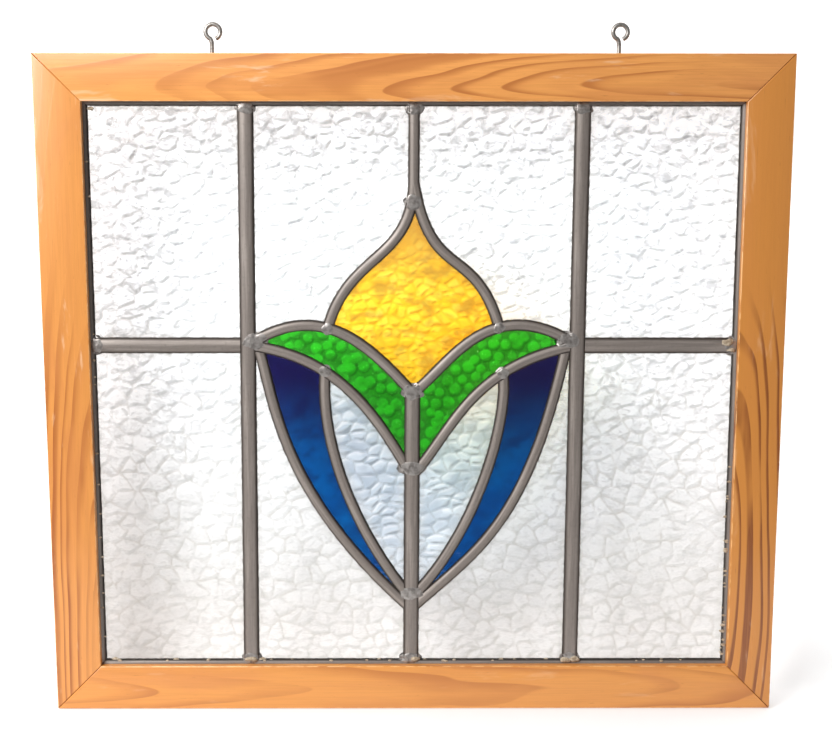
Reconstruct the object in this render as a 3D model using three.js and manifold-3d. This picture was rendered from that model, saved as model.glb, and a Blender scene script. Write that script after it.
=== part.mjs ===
// A leaded stained glass panel in a mitred softwood frame, hung from two screw eyes.
// Sizes are in millimetres. The piece is drawn flat, with X across, Y up and Z out of its front, and
// is stood up at the end: X across, Z up, front towards -Y, with the origin midway between the two
// points where the eyes hang.

import * as THREE from 'three';
import { mergeVertices } from 'three/addons/utils/BufferGeometryUtils.js';
import Module from 'manifold-3d';

const wasm = await Module();
wasm.setup();

// Wooden frame
const frameWidth = 610;
const frameHeight = 550;
const memberWidth = 38;
const memberThickness = 19;
const arris = 0.8;
const grooveDepth = 8;

// Gap between pieces that touch
const clearance = 0.3;

// Screw eyes in the top rail. The pair stands a little right of the middle, and each shank a little
// left of its ring. The ring's wire starts below its left side and ends just short of the shank.
const eyeSpacing = 326;
const eyesAside = 2;
const eyeWire = 3.6;
const eyeBore = 8.2;
const eyeCentreHeight = 16.8;
const ringAside = 1;
const ringStart = -125;
const ringEnd = -400;
const shankDepth = 18;
const shankPoint = 5;

// Glass, and the play around it in the channels of the lead
const glassThickness = 3;
const glassPlay = 0.35;

// Lead cames: an H in section, with a heart between two rounded flanges
const heartThickness = 1.6;
const flangeEdge = 0.6;
const broadCame = 12;
const broadCrown = 1.25;
const slimCame = 8.2;
const slimCrown = 1.05;
const borderCame = 9;
const borderShow = 3.2;

// The rounded back of a flange, as shares of its crown and of the width of the strip
const shoulderRise = 0.82;
const shoulderReach = 0.3;
const crownReach = 0.1;

// Lines of the pattern, from the middle of the panel and from the crossbar. The foot of the shield
// stays clear of the bottom rail, and the inner petals meet a little above it.
const upperPaneHeight = 198.5;
const uprightOffset = 136.3;
const forkRise = 134;
const leafMeeting = 40;
const leafDrop = 111;
const shieldClear = 48.5;
const petalsMeetAbove = 9;
const lean = 2.8;

// Where one line leaves another, as shares of the line that it leaves
const outerPetalShare = 0.035;
const innerPetalShareLeft = 0.33;
const innerPetalShareRight = 0.29;
const budFootShareLeft = 0.41;
const budFootShareRight = 0.35;

// Solder over the joints of the lead. Three lumps have run a little way from their joint.
const solderRise = 0.95;
const solderSpread = 0.62;
const longLumpRatio = 1.5;
const wideLumpRatio = 1.15;
const forkSolderDrop = 16;
const leafSolderRise = 7;
const shieldSolderRise = 14;

// Facets of the round pieces
const wireSides = 8;
const shankSides = 10;
const holeSides = 12;
const lumpSides = 8;
const ringSteps = 18;

// Worked out from the sizes above
const channelHalf = glassThickness / 2 + glassPlay;
const panelHalf = channelHalf + broadCrown;
const grooveHalf = channelHalf + slimCrown + clearance;
const sightHalfWidth = frameWidth / 2 - memberWidth;
const sightHalfHeight = frameHeight / 2 - memberWidth;
const borderHalfWidth = sightHalfWidth - borderShow + borderCame / 2;
const borderHalfHeight = sightHalfHeight - borderShow + borderCame / 2;
const crossbarY = sightHalfHeight - upperPaneHeight;
const shieldDrop = sightHalfHeight + crossbarY - shieldClear;
const petalDrop = shieldDrop - petalsMeetAbove;
const heartReach = heartThickness + 2 * glassPlay;
const wireRadius = eyeWire / 2;
const ringRadius = eyeBore / 2 + wireRadius;
const neckHeight = eyeCentreHeight - ringRadius - eyeWire;
const hangHeight = frameHeight / 2 + eyeCentreHeight + eyeBore / 2;

// Finishes
const wood = new THREE.MeshStandardMaterial({ color: 0xd8924f, roughness: 0.5, metalness: 0 });
const lead = new THREE.MeshStandardMaterial({ color: 0x8d857d, roughness: 0.55, metalness: 0.7 });
const solder = new THREE.MeshStandardMaterial({ color: 0xa09a95, roughness: 0.35, metalness: 0.9 });
const steel = new THREE.MeshStandardMaterial({ color: 0xa8a5a0, roughness: 0.3, metalness: 1 });

function glassFinish(color, opacity) {
  return new THREE.MeshStandardMaterial({ color, roughness: 0.1, metalness: 0, transparent: true, opacity });
}

const clearGlass = glassFinish(0xe9eeec, 0.35);
const amberGlass = glassFinish(0xf7b51c, 0.8);
const greenGlass = glassFinish(0x2b9c1c, 0.8);
const blueGlass = glassFinish(0x0c3f94, 0.85);

// Solids and boolean cuts

function solidOf(geometry) {
  const shell = geometry.clone();
  shell.deleteAttribute('normal');
  shell.deleteAttribute('uv');
  const merged = mergeVertices(shell, 1e-4);
  const vertProperties = new Float32Array(merged.attributes.position.array);
  const triVerts = new Uint32Array(merged.index.array);
  return new wasm.Manifold(new wasm.Mesh({ numProp: 3, vertProperties, triVerts }));
}

function geometryOf(solid) {
  const mesh = solid.getMesh();
  const geometry = new THREE.BufferGeometry();
  geometry.setAttribute('position', new THREE.BufferAttribute(mesh.vertProperties, 3));
  geometry.setIndex(new THREE.BufferAttribute(mesh.triVerts, 1));
  const faceted = geometry.toNonIndexed();
  faceted.computeVertexNormals();
  return faceted;
}

function cutAway(solid, tools) {
  return tools.reduce((left, tool) => left.subtract(tool), solid);
}

function largestPiece(solid) {
  return solid.decompose().sort((a, b) => b.volume() - a.volume())[0];
}

function at(geometry, x, y, z = 0) {
  return geometry.clone().translate(x, y, z);
}

const framedPanel = new THREE.Group();

function place(name, geometry, material) {
  const mesh = new THREE.Mesh(geometry, material);
  mesh.name = name;
  framedPanel.add(mesh);
  return mesh;
}

// A bar along X, with its outer edge on Y = 0 and its ends mitred. Its section is drawn with X as the
// distance in from the outer edge and Y as the depth.
function mitredBar(section, length) {
  const bar = new THREE.ExtrudeGeometry(section, { depth: 1, bevelEnabled: false });
  const mitreGap = clearance * Math.SQRT1_2;
  const vertices = bar.attributes.position;
  for (let i = 0; i < vertices.count; i += 1) {
    const inward = vertices.getX(i);
    const depth = vertices.getY(i);
    const end = 2 * vertices.getZ(i) - 1;
    vertices.setXYZ(i, end * (length / 2 - inward - mitreGap), inward, depth);
  }
  return bar;
}

// Four mitred bars make a rectangle, and each is turned to its side.
const sides = [
  { word: 'bottom', turn: 0, across: 0, up: -1 },
  { word: 'right', turn: 1, across: 1, up: 0 },
  { word: 'top', turn: 2, across: 0, up: 1 },
  { word: 'left', turn: 3, across: -1, up: 0 },
];

function placeSide(side, name, geometry, material, halfWidth, halfHeight) {
  const mesh = place(name, geometry, material);
  mesh.rotation.z = side.turn * Math.PI / 2;
  mesh.position.set(side.across * halfWidth, side.up * halfHeight, 0);
}

// Frame members: eased outer edges, and a groove along the sight edge that holds the lead border

function memberSection() {
  const half = memberThickness / 2;
  return new THREE.Shape()
    .moveTo(arris, -half)
    .lineTo(memberWidth - arris, -half)
    .lineTo(memberWidth, arris - half)
    .lineTo(memberWidth, -grooveHalf)
    .lineTo(memberWidth - grooveDepth, -grooveHalf)
    .lineTo(memberWidth - grooveDepth, grooveHalf)
    .lineTo(memberWidth, grooveHalf)
    .lineTo(memberWidth, half - arris)
    .lineTo(memberWidth - arris, half)
    .lineTo(arris, half)
    .lineTo(0, half - arris)
    .lineTo(0, arris - half)
    .closePath();
}

const memberNames = {
  bottom: 'frame_bottom_rail',
  right: 'frame_right_stile',
  top: 'frame_top_rail',
  left: 'frame_left_stile',
};

function shankX(hand) {
  return eyesAside + hand * eyeSpacing / 2 - ringAside;
}

function shankHole(x) {
  const depth = shankDepth + clearance;
  const radius = wireRadius + clearance;
  return solidOf(at(new THREE.CylinderGeometry(radius, radius, 2 * depth, holeSides), x, 0));
}

for (const side of sides) {
  const length = side.up ? frameWidth : frameHeight;
  let member = mitredBar(memberSection(), length);
  if (side.word === 'top') {
    const holes = [-1, 1].map((hand) => shankHole(-shankX(hand)));
    member = geometryOf(cutAway(solidOf(member), holes));
  }
  placeSide(side, memberNames[side.word], member, wood, frameWidth / 2, frameHeight / 2);
}

// Screw eyes: a pointed shank in the rail, and a ring bent up its left side, over the top and down

function ringPath() {
  const start = new THREE.Vector3(0, neckHeight, 0);
  const bend = new THREE.Vector3(-0.15 * eyeWire, neckHeight + 0.6 * eyeWire, 0);
  const points = [start, bend];
  const bends = 12;
  for (let i = 0; i <= bends; i += 1) {
    const angle = THREE.MathUtils.degToRad(ringStart + (ringEnd - ringStart) * i / bends);
    const across = ringAside + ringRadius * Math.cos(angle);
    points.push(new THREE.Vector3(across, eyeCentreHeight + ringRadius * Math.sin(angle), 0));
  }
  return new THREE.CatmullRomCurve3(points, false, 'centripetal');
}

function screwEye() {
  const profile = [
    new THREE.Vector2(0, -shankDepth),
    new THREE.Vector2(wireRadius, shankPoint - shankDepth),
    new THREE.Vector2(wireRadius, neckHeight + wireRadius),
    new THREE.Vector2(0, neckHeight + 1.2 * wireRadius),
  ];
  const shank = new THREE.LatheGeometry(profile, shankSides);
  const wire = new THREE.Shape().absarc(0, 0, wireRadius, 0, 2 * Math.PI);
  const bent = { steps: ringSteps, curveSegments: wireSides / 2, extrudePath: ringPath() };
  const ring = new THREE.ExtrudeGeometry(wire, bent);
  return geometryOf(solidOf(shank).add(solidOf(ring)));
}

for (const [word, hand] of [['left', -1], ['right', 1]]) {
  const eye = place(`screw_eye_${word}`, screwEye(), steel);
  eye.position.set(shankX(hand), frameHeight / 2, 0);
}

// Lines of the leading. The whole pattern leans a little to the left towards its foot.

function onPanel(across, aboveCrossbar) {
  const y = crossbarY + aboveCrossbar;
  const sunk = (sightHalfHeight - y) / (2 * sightHalfHeight);
  return new THREE.Vector3(across - lean * sunk, y, 0);
}

const borderTop = borderHalfHeight - crossbarY;
const borderFoot = -borderHalfHeight - crossbarY;

function straight(from, to) {
  return new THREE.LineCurve3(from, to);
}

// A bow from one joint to another. Its two handles are shares of the way across and down.
function bow(from, to, leave, arrive) {
  const run = to.clone().sub(from);
  const handle = (share) => new THREE.Vector3(from.x + share[0] * run.x, from.y + share[1] * run.y, 0);
  return new THREE.CubicBezierCurve3(from, handle(leave), handle(arrive), to);
}

const fork = onPanel(0, forkRise);
const leavesMeet = onPanel(0, -leafMeeting);
const leafFoot = onPanel(0, -leafDrop);
const petalFoot = onPanel(0, -petalDrop);
const shieldFoot = onPanel(0, -shieldDrop);
const crossingLeft = onPanel(-uprightOffset, 0);
const crossingRight = onPanel(uprightOffset, 0);

const leafTopLeft = bow(crossingLeft, leavesMeet, [0.45, -1.03], [0.75, 0.05]);
const leafTopRight = bow(crossingRight, leavesMeet, [0.55, -1.22], [0.79, 0.52]);
const leafUnderLeft = bow(crossingLeft, leafFoot, [0.58, 0.08], [0.8, 0.58]);
const leafUnderRight = bow(crossingRight, leafFoot, [0.66, 0.15], [0.76, 0.68]);
const petalOuterLeft = bow(leafUnderLeft.getPoint(outerPetalShare), shieldFoot, [0.11, 0.18], [0.09, 0.53]);
const petalOuterRight = bow(leafUnderRight.getPoint(outerPetalShare), shieldFoot, [0.24, 0.67], [0.56, 0.77]);
const petalTopLeft = leafUnderLeft.getPoint(innerPetalShareLeft);
const petalTopRight = leafUnderRight.getPoint(innerPetalShareRight);
const petalInnerLeft = bow(petalTopLeft, petalFoot, [-0.07, 0.35], [0.4, 0.73]);
const petalInnerRight = bow(petalTopRight, petalFoot, [-0.08, 0.16], [0.21, 0.68]);
const budFootLeft = leafTopLeft.getPoint(budFootShareLeft);
const budFootRight = leafTopRight.getPoint(budFootShareRight);
const budRight = bow(fork, budFootRight, [0.2, 0.7], [0.71, 0.4]);

const stemAndBudLeft = new THREE.CurvePath();
stemAndBudLeft.add(straight(onPanel(0, borderTop), fork));
stemAndBudLeft.add(bow(fork, budFootLeft, [0.02, 0.54], [0.75, 0.47]));

function upright(across) {
  return straight(onPanel(across, borderTop), onPanel(across, borderFoot));
}

function crossbar(crossing, hand) {
  return straight(crossing, new THREE.Vector3(hand * borderHalfWidth, crossbarY, 0));
}

// The strips in the order they are laid: each is cut back where it meets one laid before it.
const broad = { width: broadCame, crown: broadCrown };
const slim = { width: slimCame, crown: slimCrown };
const strips = [
  { name: 'came_upright_left', path: upright(-uprightOffset), steps: 1, ...broad },
  { name: 'came_upright_right', path: upright(uprightOffset), steps: 1, ...broad },
  { name: 'came_crossbar_left', path: crossbar(crossingLeft, -1), steps: 1, ...broad },
  { name: 'came_crossbar_right', path: crossbar(crossingRight, 1), steps: 1, ...broad },
  { name: 'came_leaf_top_left', path: leafTopLeft, steps: 11, ...slim },
  { name: 'came_leaf_top_right', path: leafTopRight, steps: 11, ...slim },
  { name: 'came_stem_and_bud_left', path: stemAndBudLeft, steps: 16, ...slim },
  { name: 'came_bud_right', path: budRight, steps: 10, ...slim },
  { name: 'came_centre', path: straight(leavesMeet, onPanel(0, borderFoot)), steps: 1, ...broad },
  { name: 'came_leaf_under_left', path: leafUnderLeft, steps: 10, ...slim },
  { name: 'came_leaf_under_right', path: leafUnderRight, steps: 10, ...slim },
  { name: 'came_petal_outer_left', path: petalOuterLeft, steps: 10, ...slim },
  { name: 'came_petal_outer_right', path: petalOuterRight, steps: 10, ...slim },
  { name: 'came_petal_inner_left', path: petalInnerLeft, steps: 8, ...slim },
  { name: 'came_petal_inner_right', path: petalInnerRight, steps: 8, ...slim },
];

function mirroredShape(quarter) {
  const back = [...quarter].reverse();
  const points = [
    ...quarter,
    ...back.map(([depth, across]) => [depth, -across]),
    ...quarter.map(([depth, across]) => [-depth, -across]),
    ...back.map(([depth, across]) => [-depth, across]),
  ];
  return new THREE.Shape(points.map(([depth, across]) => new THREE.Vector2(depth, across)));
}

// The outline of a came, drawn with X as the depth and Y across the strip
function cameSection(width, crown) {
  return mirroredShape([
    [channelHalf, heartThickness / 2],
    [channelHalf, width / 2],
    [channelHalf + flangeEdge, width / 2],
    [channelHalf + shoulderRise * crown, shoulderReach * width],
    [channelHalf + crown, crownReach * width],
  ]);
}

// The same outline with its channels filled, and grown all round by the clearance
function coverSection(width, crown) {
  const grown = channelHalf + clearance;
  return mirroredShape([
    [grown + flangeEdge, width / 2 + clearance],
    [grown + shoulderRise * crown, shoulderReach * width + clearance / 2],
    [grown + crown, crownReach * width],
  ]);
}

// A straight-sided slot through the whole thickness
function slotSection(width) {
  const reach = memberThickness / 2;
  return new THREE.Shape([
    new THREE.Vector2(-reach, -width / 2),
    new THREE.Vector2(reach, -width / 2),
    new THREE.Vector2(reach, width / 2),
    new THREE.Vector2(-reach, width / 2),
  ]);
}

function sweep(section, strip) {
  const geometry = new THREE.ExtrudeGeometry(section, { steps: strip.steps, extrudePath: strip.path });
  return solidOf(geometry);
}

// Border cames, mitred at the corners and half hidden in the groove

function borderSection() {
  const points = cameSection(borderCame, slimCrown).getPoints();
  return new THREE.Shape(points.map((point) => new THREE.Vector2(borderCame / 2 - point.y, point.x)));
}

for (const side of sides) {
  const outerHalfWidth = borderHalfWidth + borderCame / 2;
  const outerHalfHeight = borderHalfHeight + borderCame / 2;
  const length = 2 * (side.up ? outerHalfWidth : outerHalfHeight);
  const came = mitredBar(borderSection(), length);
  placeSide(side, `came_border_${side.word}`, came, lead, outerHalfWidth, outerHalfHeight);
}

// The space inside the border's flanges, which the inner strips end in
function insideBorder(inset) {
  const width = 2 * (borderHalfWidth - borderCame / 2 - inset);
  const height = 2 * (borderHalfHeight - borderCame / 2 - inset);
  return solidOf(new THREE.BoxGeometry(width, height, memberThickness));
}

const roomForStrips = insideBorder(clearance);
const laid = [];
for (const strip of strips) {
  const whole = sweep(cameSection(strip.width, strip.crown), strip).intersect(roomForStrips);
  place(strip.name, geometryOf(largestPiece(cutAway(whole, laid))), lead);
  laid.push(sweep(slotSection(strip.width + 2 * clearance), strip));
}

// Glass: one sheet, cut along the heart of every strip into its panes

function panes() {
  const width = 2 * (borderHalfWidth - heartReach / 2);
  const height = 2 * (borderHalfHeight - heartReach / 2);
  const sheet = solidOf(new THREE.BoxGeometry(width, height, glassThickness));
  const hearts = strips.map((strip) => sweep(slotSection(heartReach), strip));
  return cutAway(sheet, hearts).decompose();
}

const cutPanes = panes();

// The pane that a point lies in
function paneAt(point) {
  const probe = solidOf(at(new THREE.BoxGeometry(clearance, clearance, clearance), point.x, point.y));
  return cutPanes.find((pane) => !pane.intersect(probe).isEmpty());
}

function between(a, b, share = 0.5) {
  return a.clone().lerp(b, share);
}

function placePane(name, point, finish) {
  place(name, geometryOf(paneAt(point)), finish);
}

// Each pane is named by a point well inside it.
for (const [word, hand, leafTop, leafUnder, outer, inner] of [
  ['left', -1, leafTopLeft, leafUnderLeft, petalOuterLeft, petalInnerLeft],
  ['right', 1, leafTopRight, leafUnderRight, petalOuterRight, petalInnerRight],
]) {
  const outerX = hand * (uprightOffset + sightHalfWidth) / 2;
  placePane(`glass_upper_outer_${word}`, onPanel(outerX, upperPaneHeight / 2), clearGlass);
  placePane(`glass_lower_outer_${word}`, onPanel(outerX, borderFoot / 2), clearGlass);
  const aboveLeaf = onPanel(hand * uprightOffset / 2, (forkRise + upperPaneHeight) / 2);
  placePane(`glass_above_leaf_${word}`, aboveLeaf, clearGlass);
  const belowShield = onPanel(hand * (uprightOffset - broadCame), borderFoot + broadCame);
  placePane(`glass_below_shield_${word}`, belowShield, clearGlass);
  placePane(`glass_leaf_${word}`, between(leafTop.getPoint(0.6), leafUnder.getPoint(0.6)), greenGlass);
  placePane(`glass_petal_${word}`, between(outer.getPoint(0.4), inner.getPoint(0.3)), blueGlass);
  const besideStalk = between(inner.getPoint(0.4), between(leafFoot, petalFoot));
  placePane(`glass_beside_stalk_${word}`, besideStalk, clearGlass);
}
placePane('glass_bud', between(fork, leavesMeet), amberGlass);

// Solder: a low lump over each joint, moulded on to the strips under it

const corners = [[-1, -1], [1, -1], [1, 1], [-1, 1]].map(
  ([across, up]) => new THREE.Vector3(across * borderHalfWidth, up * borderHalfHeight, 0),
);
const borders = corners.map((corner, i) => (
  { path: straight(corner, corners[(i + 1) % 4]), steps: 1, width: borderCame, crown: slimCrown }
));
const covers = [...strips, ...borders].map((strip) => sweep(coverSection(strip.width, strip.crown), strip));
const sightOpening = insideBorder(clearance - borderShow);

function solderLump(radius) {
  const foot = glassThickness / 2 + clearance;
  const rise = panelHalf + solderRise - foot;
  const profile = [
    new THREE.Vector2(0, foot),
    new THREE.Vector2(0.85 * radius, foot),
    new THREE.Vector2(radius, foot + 0.35 * rise),
    new THREE.Vector2(0.6 * radius, foot + 0.88 * rise),
    new THREE.Vector2(0, foot + rise),
  ];
  return new THREE.LatheGeometry(profile, lumpSides).rotateX(Math.PI / 2);
}

function placeSolder(name, point, width, stretch = 1) {
  const lump = solderLump(solderSpread * width).scale(stretch, 1, 1);
  const whole = solidOf(at(lump, point.x, point.y)).intersect(sightOpening);
  place(name, geometryOf(largestPiece(cutAway(whole, covers))), solder);
}

const edgeInset = 0.35 * broadCame;
const sightTop = sightHalfHeight - crossbarY - edgeInset;
const sightFoot = edgeInset - sightHalfHeight - crossbarY;
placeSolder('solder_fork', onPanel(0, forkRise - forkSolderDrop), broadCame);
placeSolder('solder_leaves_meet', leavesMeet, broadCame, wideLumpRatio);
placeSolder('solder_leaf_foot', onPanel(0, leafSolderRise - leafDrop), broadCame, longLumpRatio);
placeSolder('solder_shield_foot', onPanel(0, shieldSolderRise - shieldDrop), broadCame, longLumpRatio);
placeSolder('solder_stem_top', onPanel(0, sightTop), broadCame);
placeSolder('solder_stalk_foot', onPanel(0, sightFoot), broadCame, wideLumpRatio);
for (const [word, hand, crossing, leafTop, budFoot, petalTop] of [
  ['left', -1, crossingLeft, leafTopLeft, budFootLeft, petalTopLeft],
  ['right', 1, crossingRight, leafTopRight, budFootRight, petalTopRight],
]) {
  const crossingMiddle = between(crossing, leafTop.getPoint(0.05), 0.6);
  placeSolder(`solder_crossing_${word}`, crossingMiddle, broadCame, longLumpRatio);
  placeSolder(`solder_bud_foot_${word}`, budFoot, slimCame, wideLumpRatio);
  placeSolder(`solder_petal_top_${word}`, petalTop, slimCame, wideLumpRatio);
  placeSolder(`solder_upright_top_${word}`, onPanel(hand * uprightOffset, sightTop), broadCame);
  placeSolder(`solder_upright_foot_${word}`, onPanel(hand * uprightOffset, sightFoot), broadCame);
  const barEnd = new THREE.Vector3(hand * (sightHalfWidth - edgeInset), crossbarY, 0);
  placeSolder(`solder_crossbar_end_${word}`, barEnd, broadCame);
}

// The framed panel stands up and hangs from its eyes.
framedPanel.rotation.x = Math.PI / 2;
framedPanel.position.set(-eyesAside, 0, -hangHeight);

const stainedGlass = new THREE.Group();
stainedGlass.add(framedPanel);

export default stainedGlass;
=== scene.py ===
# The looks of a hanging stained glass panel: a varnished softwood frame, a leaded flower bud of
# hammered and coloured glass, solder, cement, putty and two screw eyes.
# Lengths are in metres. X runs across the front, Y from front to back and Z up.

import math

import bmesh
import bpy
import numpy as np
from bpy.props import FloatProperty, FloatVectorProperty, PointerProperty
from mathutils import Matrix, Vector, noise


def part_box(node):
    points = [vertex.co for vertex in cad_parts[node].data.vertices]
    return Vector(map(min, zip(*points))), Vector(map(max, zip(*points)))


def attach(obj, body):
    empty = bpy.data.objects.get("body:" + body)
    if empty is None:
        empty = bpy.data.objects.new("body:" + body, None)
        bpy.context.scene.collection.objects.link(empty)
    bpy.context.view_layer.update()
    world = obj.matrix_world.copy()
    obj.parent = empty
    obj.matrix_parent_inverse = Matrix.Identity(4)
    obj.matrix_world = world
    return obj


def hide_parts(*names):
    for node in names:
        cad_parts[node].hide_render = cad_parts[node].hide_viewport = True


bl_info = {
    "name": "Stained glass panel",
    "version": (1, 0, 0),
    "blender": (4, 5, 0),
    "location": "3D View > Sidebar > Stained glass",
    "description": "Builds a leaded glass panel in a mitred wooden frame",
    "category": "Object",
}

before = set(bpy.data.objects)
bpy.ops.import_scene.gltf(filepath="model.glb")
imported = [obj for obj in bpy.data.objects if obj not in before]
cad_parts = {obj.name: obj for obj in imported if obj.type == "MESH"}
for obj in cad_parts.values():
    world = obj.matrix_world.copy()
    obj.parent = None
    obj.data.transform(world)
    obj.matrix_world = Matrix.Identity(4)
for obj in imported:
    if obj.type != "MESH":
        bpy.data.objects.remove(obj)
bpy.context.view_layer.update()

# Places and sizes read from the model
TOP_LOW, TOP_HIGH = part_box("frame_top_rail")
FOOT_LOW, FOOT_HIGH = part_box("frame_bottom_rail")
LEFT_LOW, LEFT_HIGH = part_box("frame_left_stile")
RIGHT_LOW, RIGHT_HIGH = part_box("frame_right_stile")
CENTRE_X = (LEFT_LOW.x + RIGHT_HIGH.x) / 2
CENTRE_Z = (FOOT_LOW.z + TOP_HIGH.z) / 2
MEMBER_WIDTH = TOP_HIGH.z - TOP_LOW.z
MEMBER_DEPTH = TOP_HIGH.y - TOP_LOW.y
SIGHT_TOP = TOP_LOW.z
SIGHT_FOOT = FOOT_HIGH.z
CROSSBAR_Z = sum(corner.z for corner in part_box("came_crossbar_left")) / 2
GLASS_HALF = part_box("glass_bud")[1].y
BORDER_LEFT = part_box("came_border_left")
BORDER_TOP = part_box("came_border_top")
BORDER_WIDTH = BORDER_TOP[1].z - BORDER_TOP[0].z
BORDER_HALF_WIDTH = CENTRE_X - BORDER_LEFT[0].x - BORDER_WIDTH / 2
BORDER_TOP_Z = BORDER_TOP[1].z - BORDER_WIDTH / 2
BORDER_FOOT_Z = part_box("came_border_bottom")[0].z + BORDER_WIDTH / 2

# Section of the leads
CHANNEL_HALF = GLASS_HALF + 0.00035
HEART_HALF = 0.0008
FLANGE_EDGE = 0.0006
BROAD_WIDTH = 0.012
BROAD_CROWN = 0.00125
SLIM_WIDTH = 0.0082
SLIM_CROWN = 0.00105
GROOVE_HALF = CHANNEL_HALF + SLIM_CROWN + 0.0003
GROOVE_DEPTH = 0.008

# Lines of the pattern, from the middle of the panel and from the crossbar
UPRIGHT_OFFSET = 0.1363
FORK_RISE = 0.134
LEAF_MEETING = 0.04
LEAF_DROP = 0.111
PETAL_DROP = 0.218
SHIELD_DROP = 0.227
LEAN = 0.0028
BUD_SHARES = {"left": 0.41, "right": 0.35}
PETAL_SHARES = {"left": 0.33, "right": 0.29}
OUTER_PETAL_SHARE = 0.035
OUTER_PETAL_TRIM = 0.03

# Sets the noise vectors of the leads and the cement, which otherwise follow the clock
NOISE_SEED = 7

# Spacing of the sections along a lead
STATION = 0.0025
BORDER_STATION = 0.003


class PanelSettings(bpy.types.PropertyGroup):
    """Sizes and colours of the finished panel."""

    wood_light: FloatVectorProperty(
        name="Light wood", description="Colour of the wood between its rings",
        subtype="COLOR", size=3, min=0, max=1, default=(0.76, 0.32, 0.080))
    wood_dark: FloatVectorProperty(
        name="Dark wood", description="Colour of the late wood of each ring",
        subtype="COLOR", size=3, min=0, max=1, default=(0.37, 0.098, 0.022))
    edge_round: FloatProperty(
        name="Eased edges", description="Radius of the frame's eased edges",
        unit="LENGTH", min=0.0002, max=0.003, default=0.0009)
    lead_colour: FloatVectorProperty(
        name="Lead", description="Colour of weathered lead",
        subtype="COLOR", size=3, min=0, max=1, default=(0.255, 0.222, 0.200))
    lead_wobble: FloatProperty(
        name="Lead wobble", description="How far a hand-dressed lead strays from its line",
        unit="LENGTH", min=0, max=0.001, default=0.00022)
    solder_colour: FloatVectorProperty(
        name="Solder", description="Colour of the solder",
        subtype="COLOR", size=3, min=0, max=1, default=(0.36, 0.335, 0.315))
    hammered_cell: FloatProperty(
        name="Hammered cell", description="Width of one cell of the clear hammered glass",
        unit="LENGTH", min=0.004, max=0.03, default=0.0156)
    relief: FloatProperty(
        name="Relief", description="Depth of the relief in the face of the glass",
        unit="LENGTH", min=0, max=0.001, default=0.00048)
    glass_step: FloatProperty(
        name="Glass step", description="Spacing of the mesh that carries the relief",
        unit="LENGTH", min=0.0005, max=0.01, default=0.0011)
    clear_tint: FloatVectorProperty(
        name="Clear glass", description="Tint of the clear glass",
        subtype="COLOR", size=3, min=0, max=1, default=(0.96, 0.98, 1.0))
    amber: FloatVectorProperty(
        name="Amber glass", description="Colour of the bud",
        subtype="COLOR", size=3, min=0, max=1, default=(0.95, 0.55, 0.022))
    green: FloatVectorProperty(
        name="Green glass", description="Colour of the leaves",
        subtype="COLOR", size=3, min=0, max=1, default=(0.018, 0.27, 0.010))
    blue: FloatVectorProperty(
        name="Blue glass", description="Colour of the petals",
        subtype="COLOR", size=3, min=0, max=1, default=(0.001, 0.062, 0.25))
    wall_gap: FloatProperty(
        name="Wall gap", description="Distance from the back of the frame to the wall",
        unit="LENGTH", min=0.01, max=2, default=0.07)
    floor_reach: FloatProperty(
        name="Floor reach", description="How far the floor comes forward of the panel",
        unit="LENGTH", min=0.1, max=3, default=0.36)
    wall_glow: FloatProperty(
        name="Wall glow", description="Light that the white wall gives off by itself",
        min=0, max=5, default=0.86)
    key_power: FloatProperty(
        name="Key light", description="Power of the soft light on the upper left",
        unit="POWER", min=0, max=500, default=40)
    fill_power: FloatProperty(
        name="Fill light", description="Power of the soft light on the right",
        unit="POWER", min=0, max=500, default=1.5)


# Nodes

def add(tree, kind, inputs=None, **settings):
    """A new node with its settings, and with values or links on its inputs."""
    node = tree.nodes.new(kind)
    for key, value in settings.items():
        setattr(node, key, value)
    for key, value in (inputs or {}).items():
        if isinstance(value, bpy.types.NodeSocket):
            tree.links.new(value, node.inputs[key])
        else:
            node.inputs[key].default_value = value
    return node


def maths(tree, operation, first, second=0.0, third=0.0, clamp=False):
    """The result of a sum, a product or another operation on up to three values."""
    inputs = {0: first, 1: second, 2: third}
    return add(tree, "ShaderNodeMath", inputs, operation=operation, use_clamp=clamp).outputs[0]


def mixed(tree, factor, first, second):
    """Two colours mixed by a factor."""
    node = add(tree, "ShaderNodeMix", data_type="RGBA")
    for index, value in ((0, factor), (6, first), (7, second)):
        if isinstance(value, bpy.types.NodeSocket):
            tree.links.new(value, node.inputs[index])
        elif index:
            node.inputs[index].default_value = (*value[:3], 1.0)
        else:
            node.inputs[index].default_value = value
    return node.outputs[2]


def step(tree, value, low, high, into_low=0.0, into_high=1.0):
    """A smooth step from one value to another."""
    inputs = {"Value": value, "From Min": low, "From Max": high, "To Min": into_low, "To Max": into_high}
    return add(tree, "ShaderNodeMapRange", inputs, interpolation_type="SMOOTHSTEP").outputs["Result"]


def cloud(tree, vector, scale, detail=3.0, roughness=0.5, distortion=0.0):
    """The grey value of a noise texture."""
    inputs = {"Vector": vector, "Scale": scale, "Detail": detail, "Roughness": roughness,
              "Distortion": distortion}
    return add(tree, "ShaderNodeTexNoise", inputs).outputs["Fac"]


def stretched(tree, vector, scale, location=(0, 0, 0), rotation=(0, 0, 0)):
    """A coordinate that is scaled, turned and moved."""
    inputs = {"Vector": vector, "Location": location, "Rotation": rotation, "Scale": scale}
    return add(tree, "ShaderNodeMapping", inputs).outputs[0]


def node_group(name, inputs, outputs):
    """A shader group with named sockets, and its inside nodes."""
    group = bpy.data.node_groups.new(name, "ShaderNodeTree")
    for word, kind, default in inputs:
        socket = group.interface.new_socket(word, in_out="INPUT", socket_type=kind)
        if default is not None:
            socket.default_value = default
    for word, kind in outputs:
        group.interface.new_socket(word, in_out="OUTPUT", socket_type=kind)
    return group, add(group, "NodeGroupInput"), add(group, "NodeGroupOutput")


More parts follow.
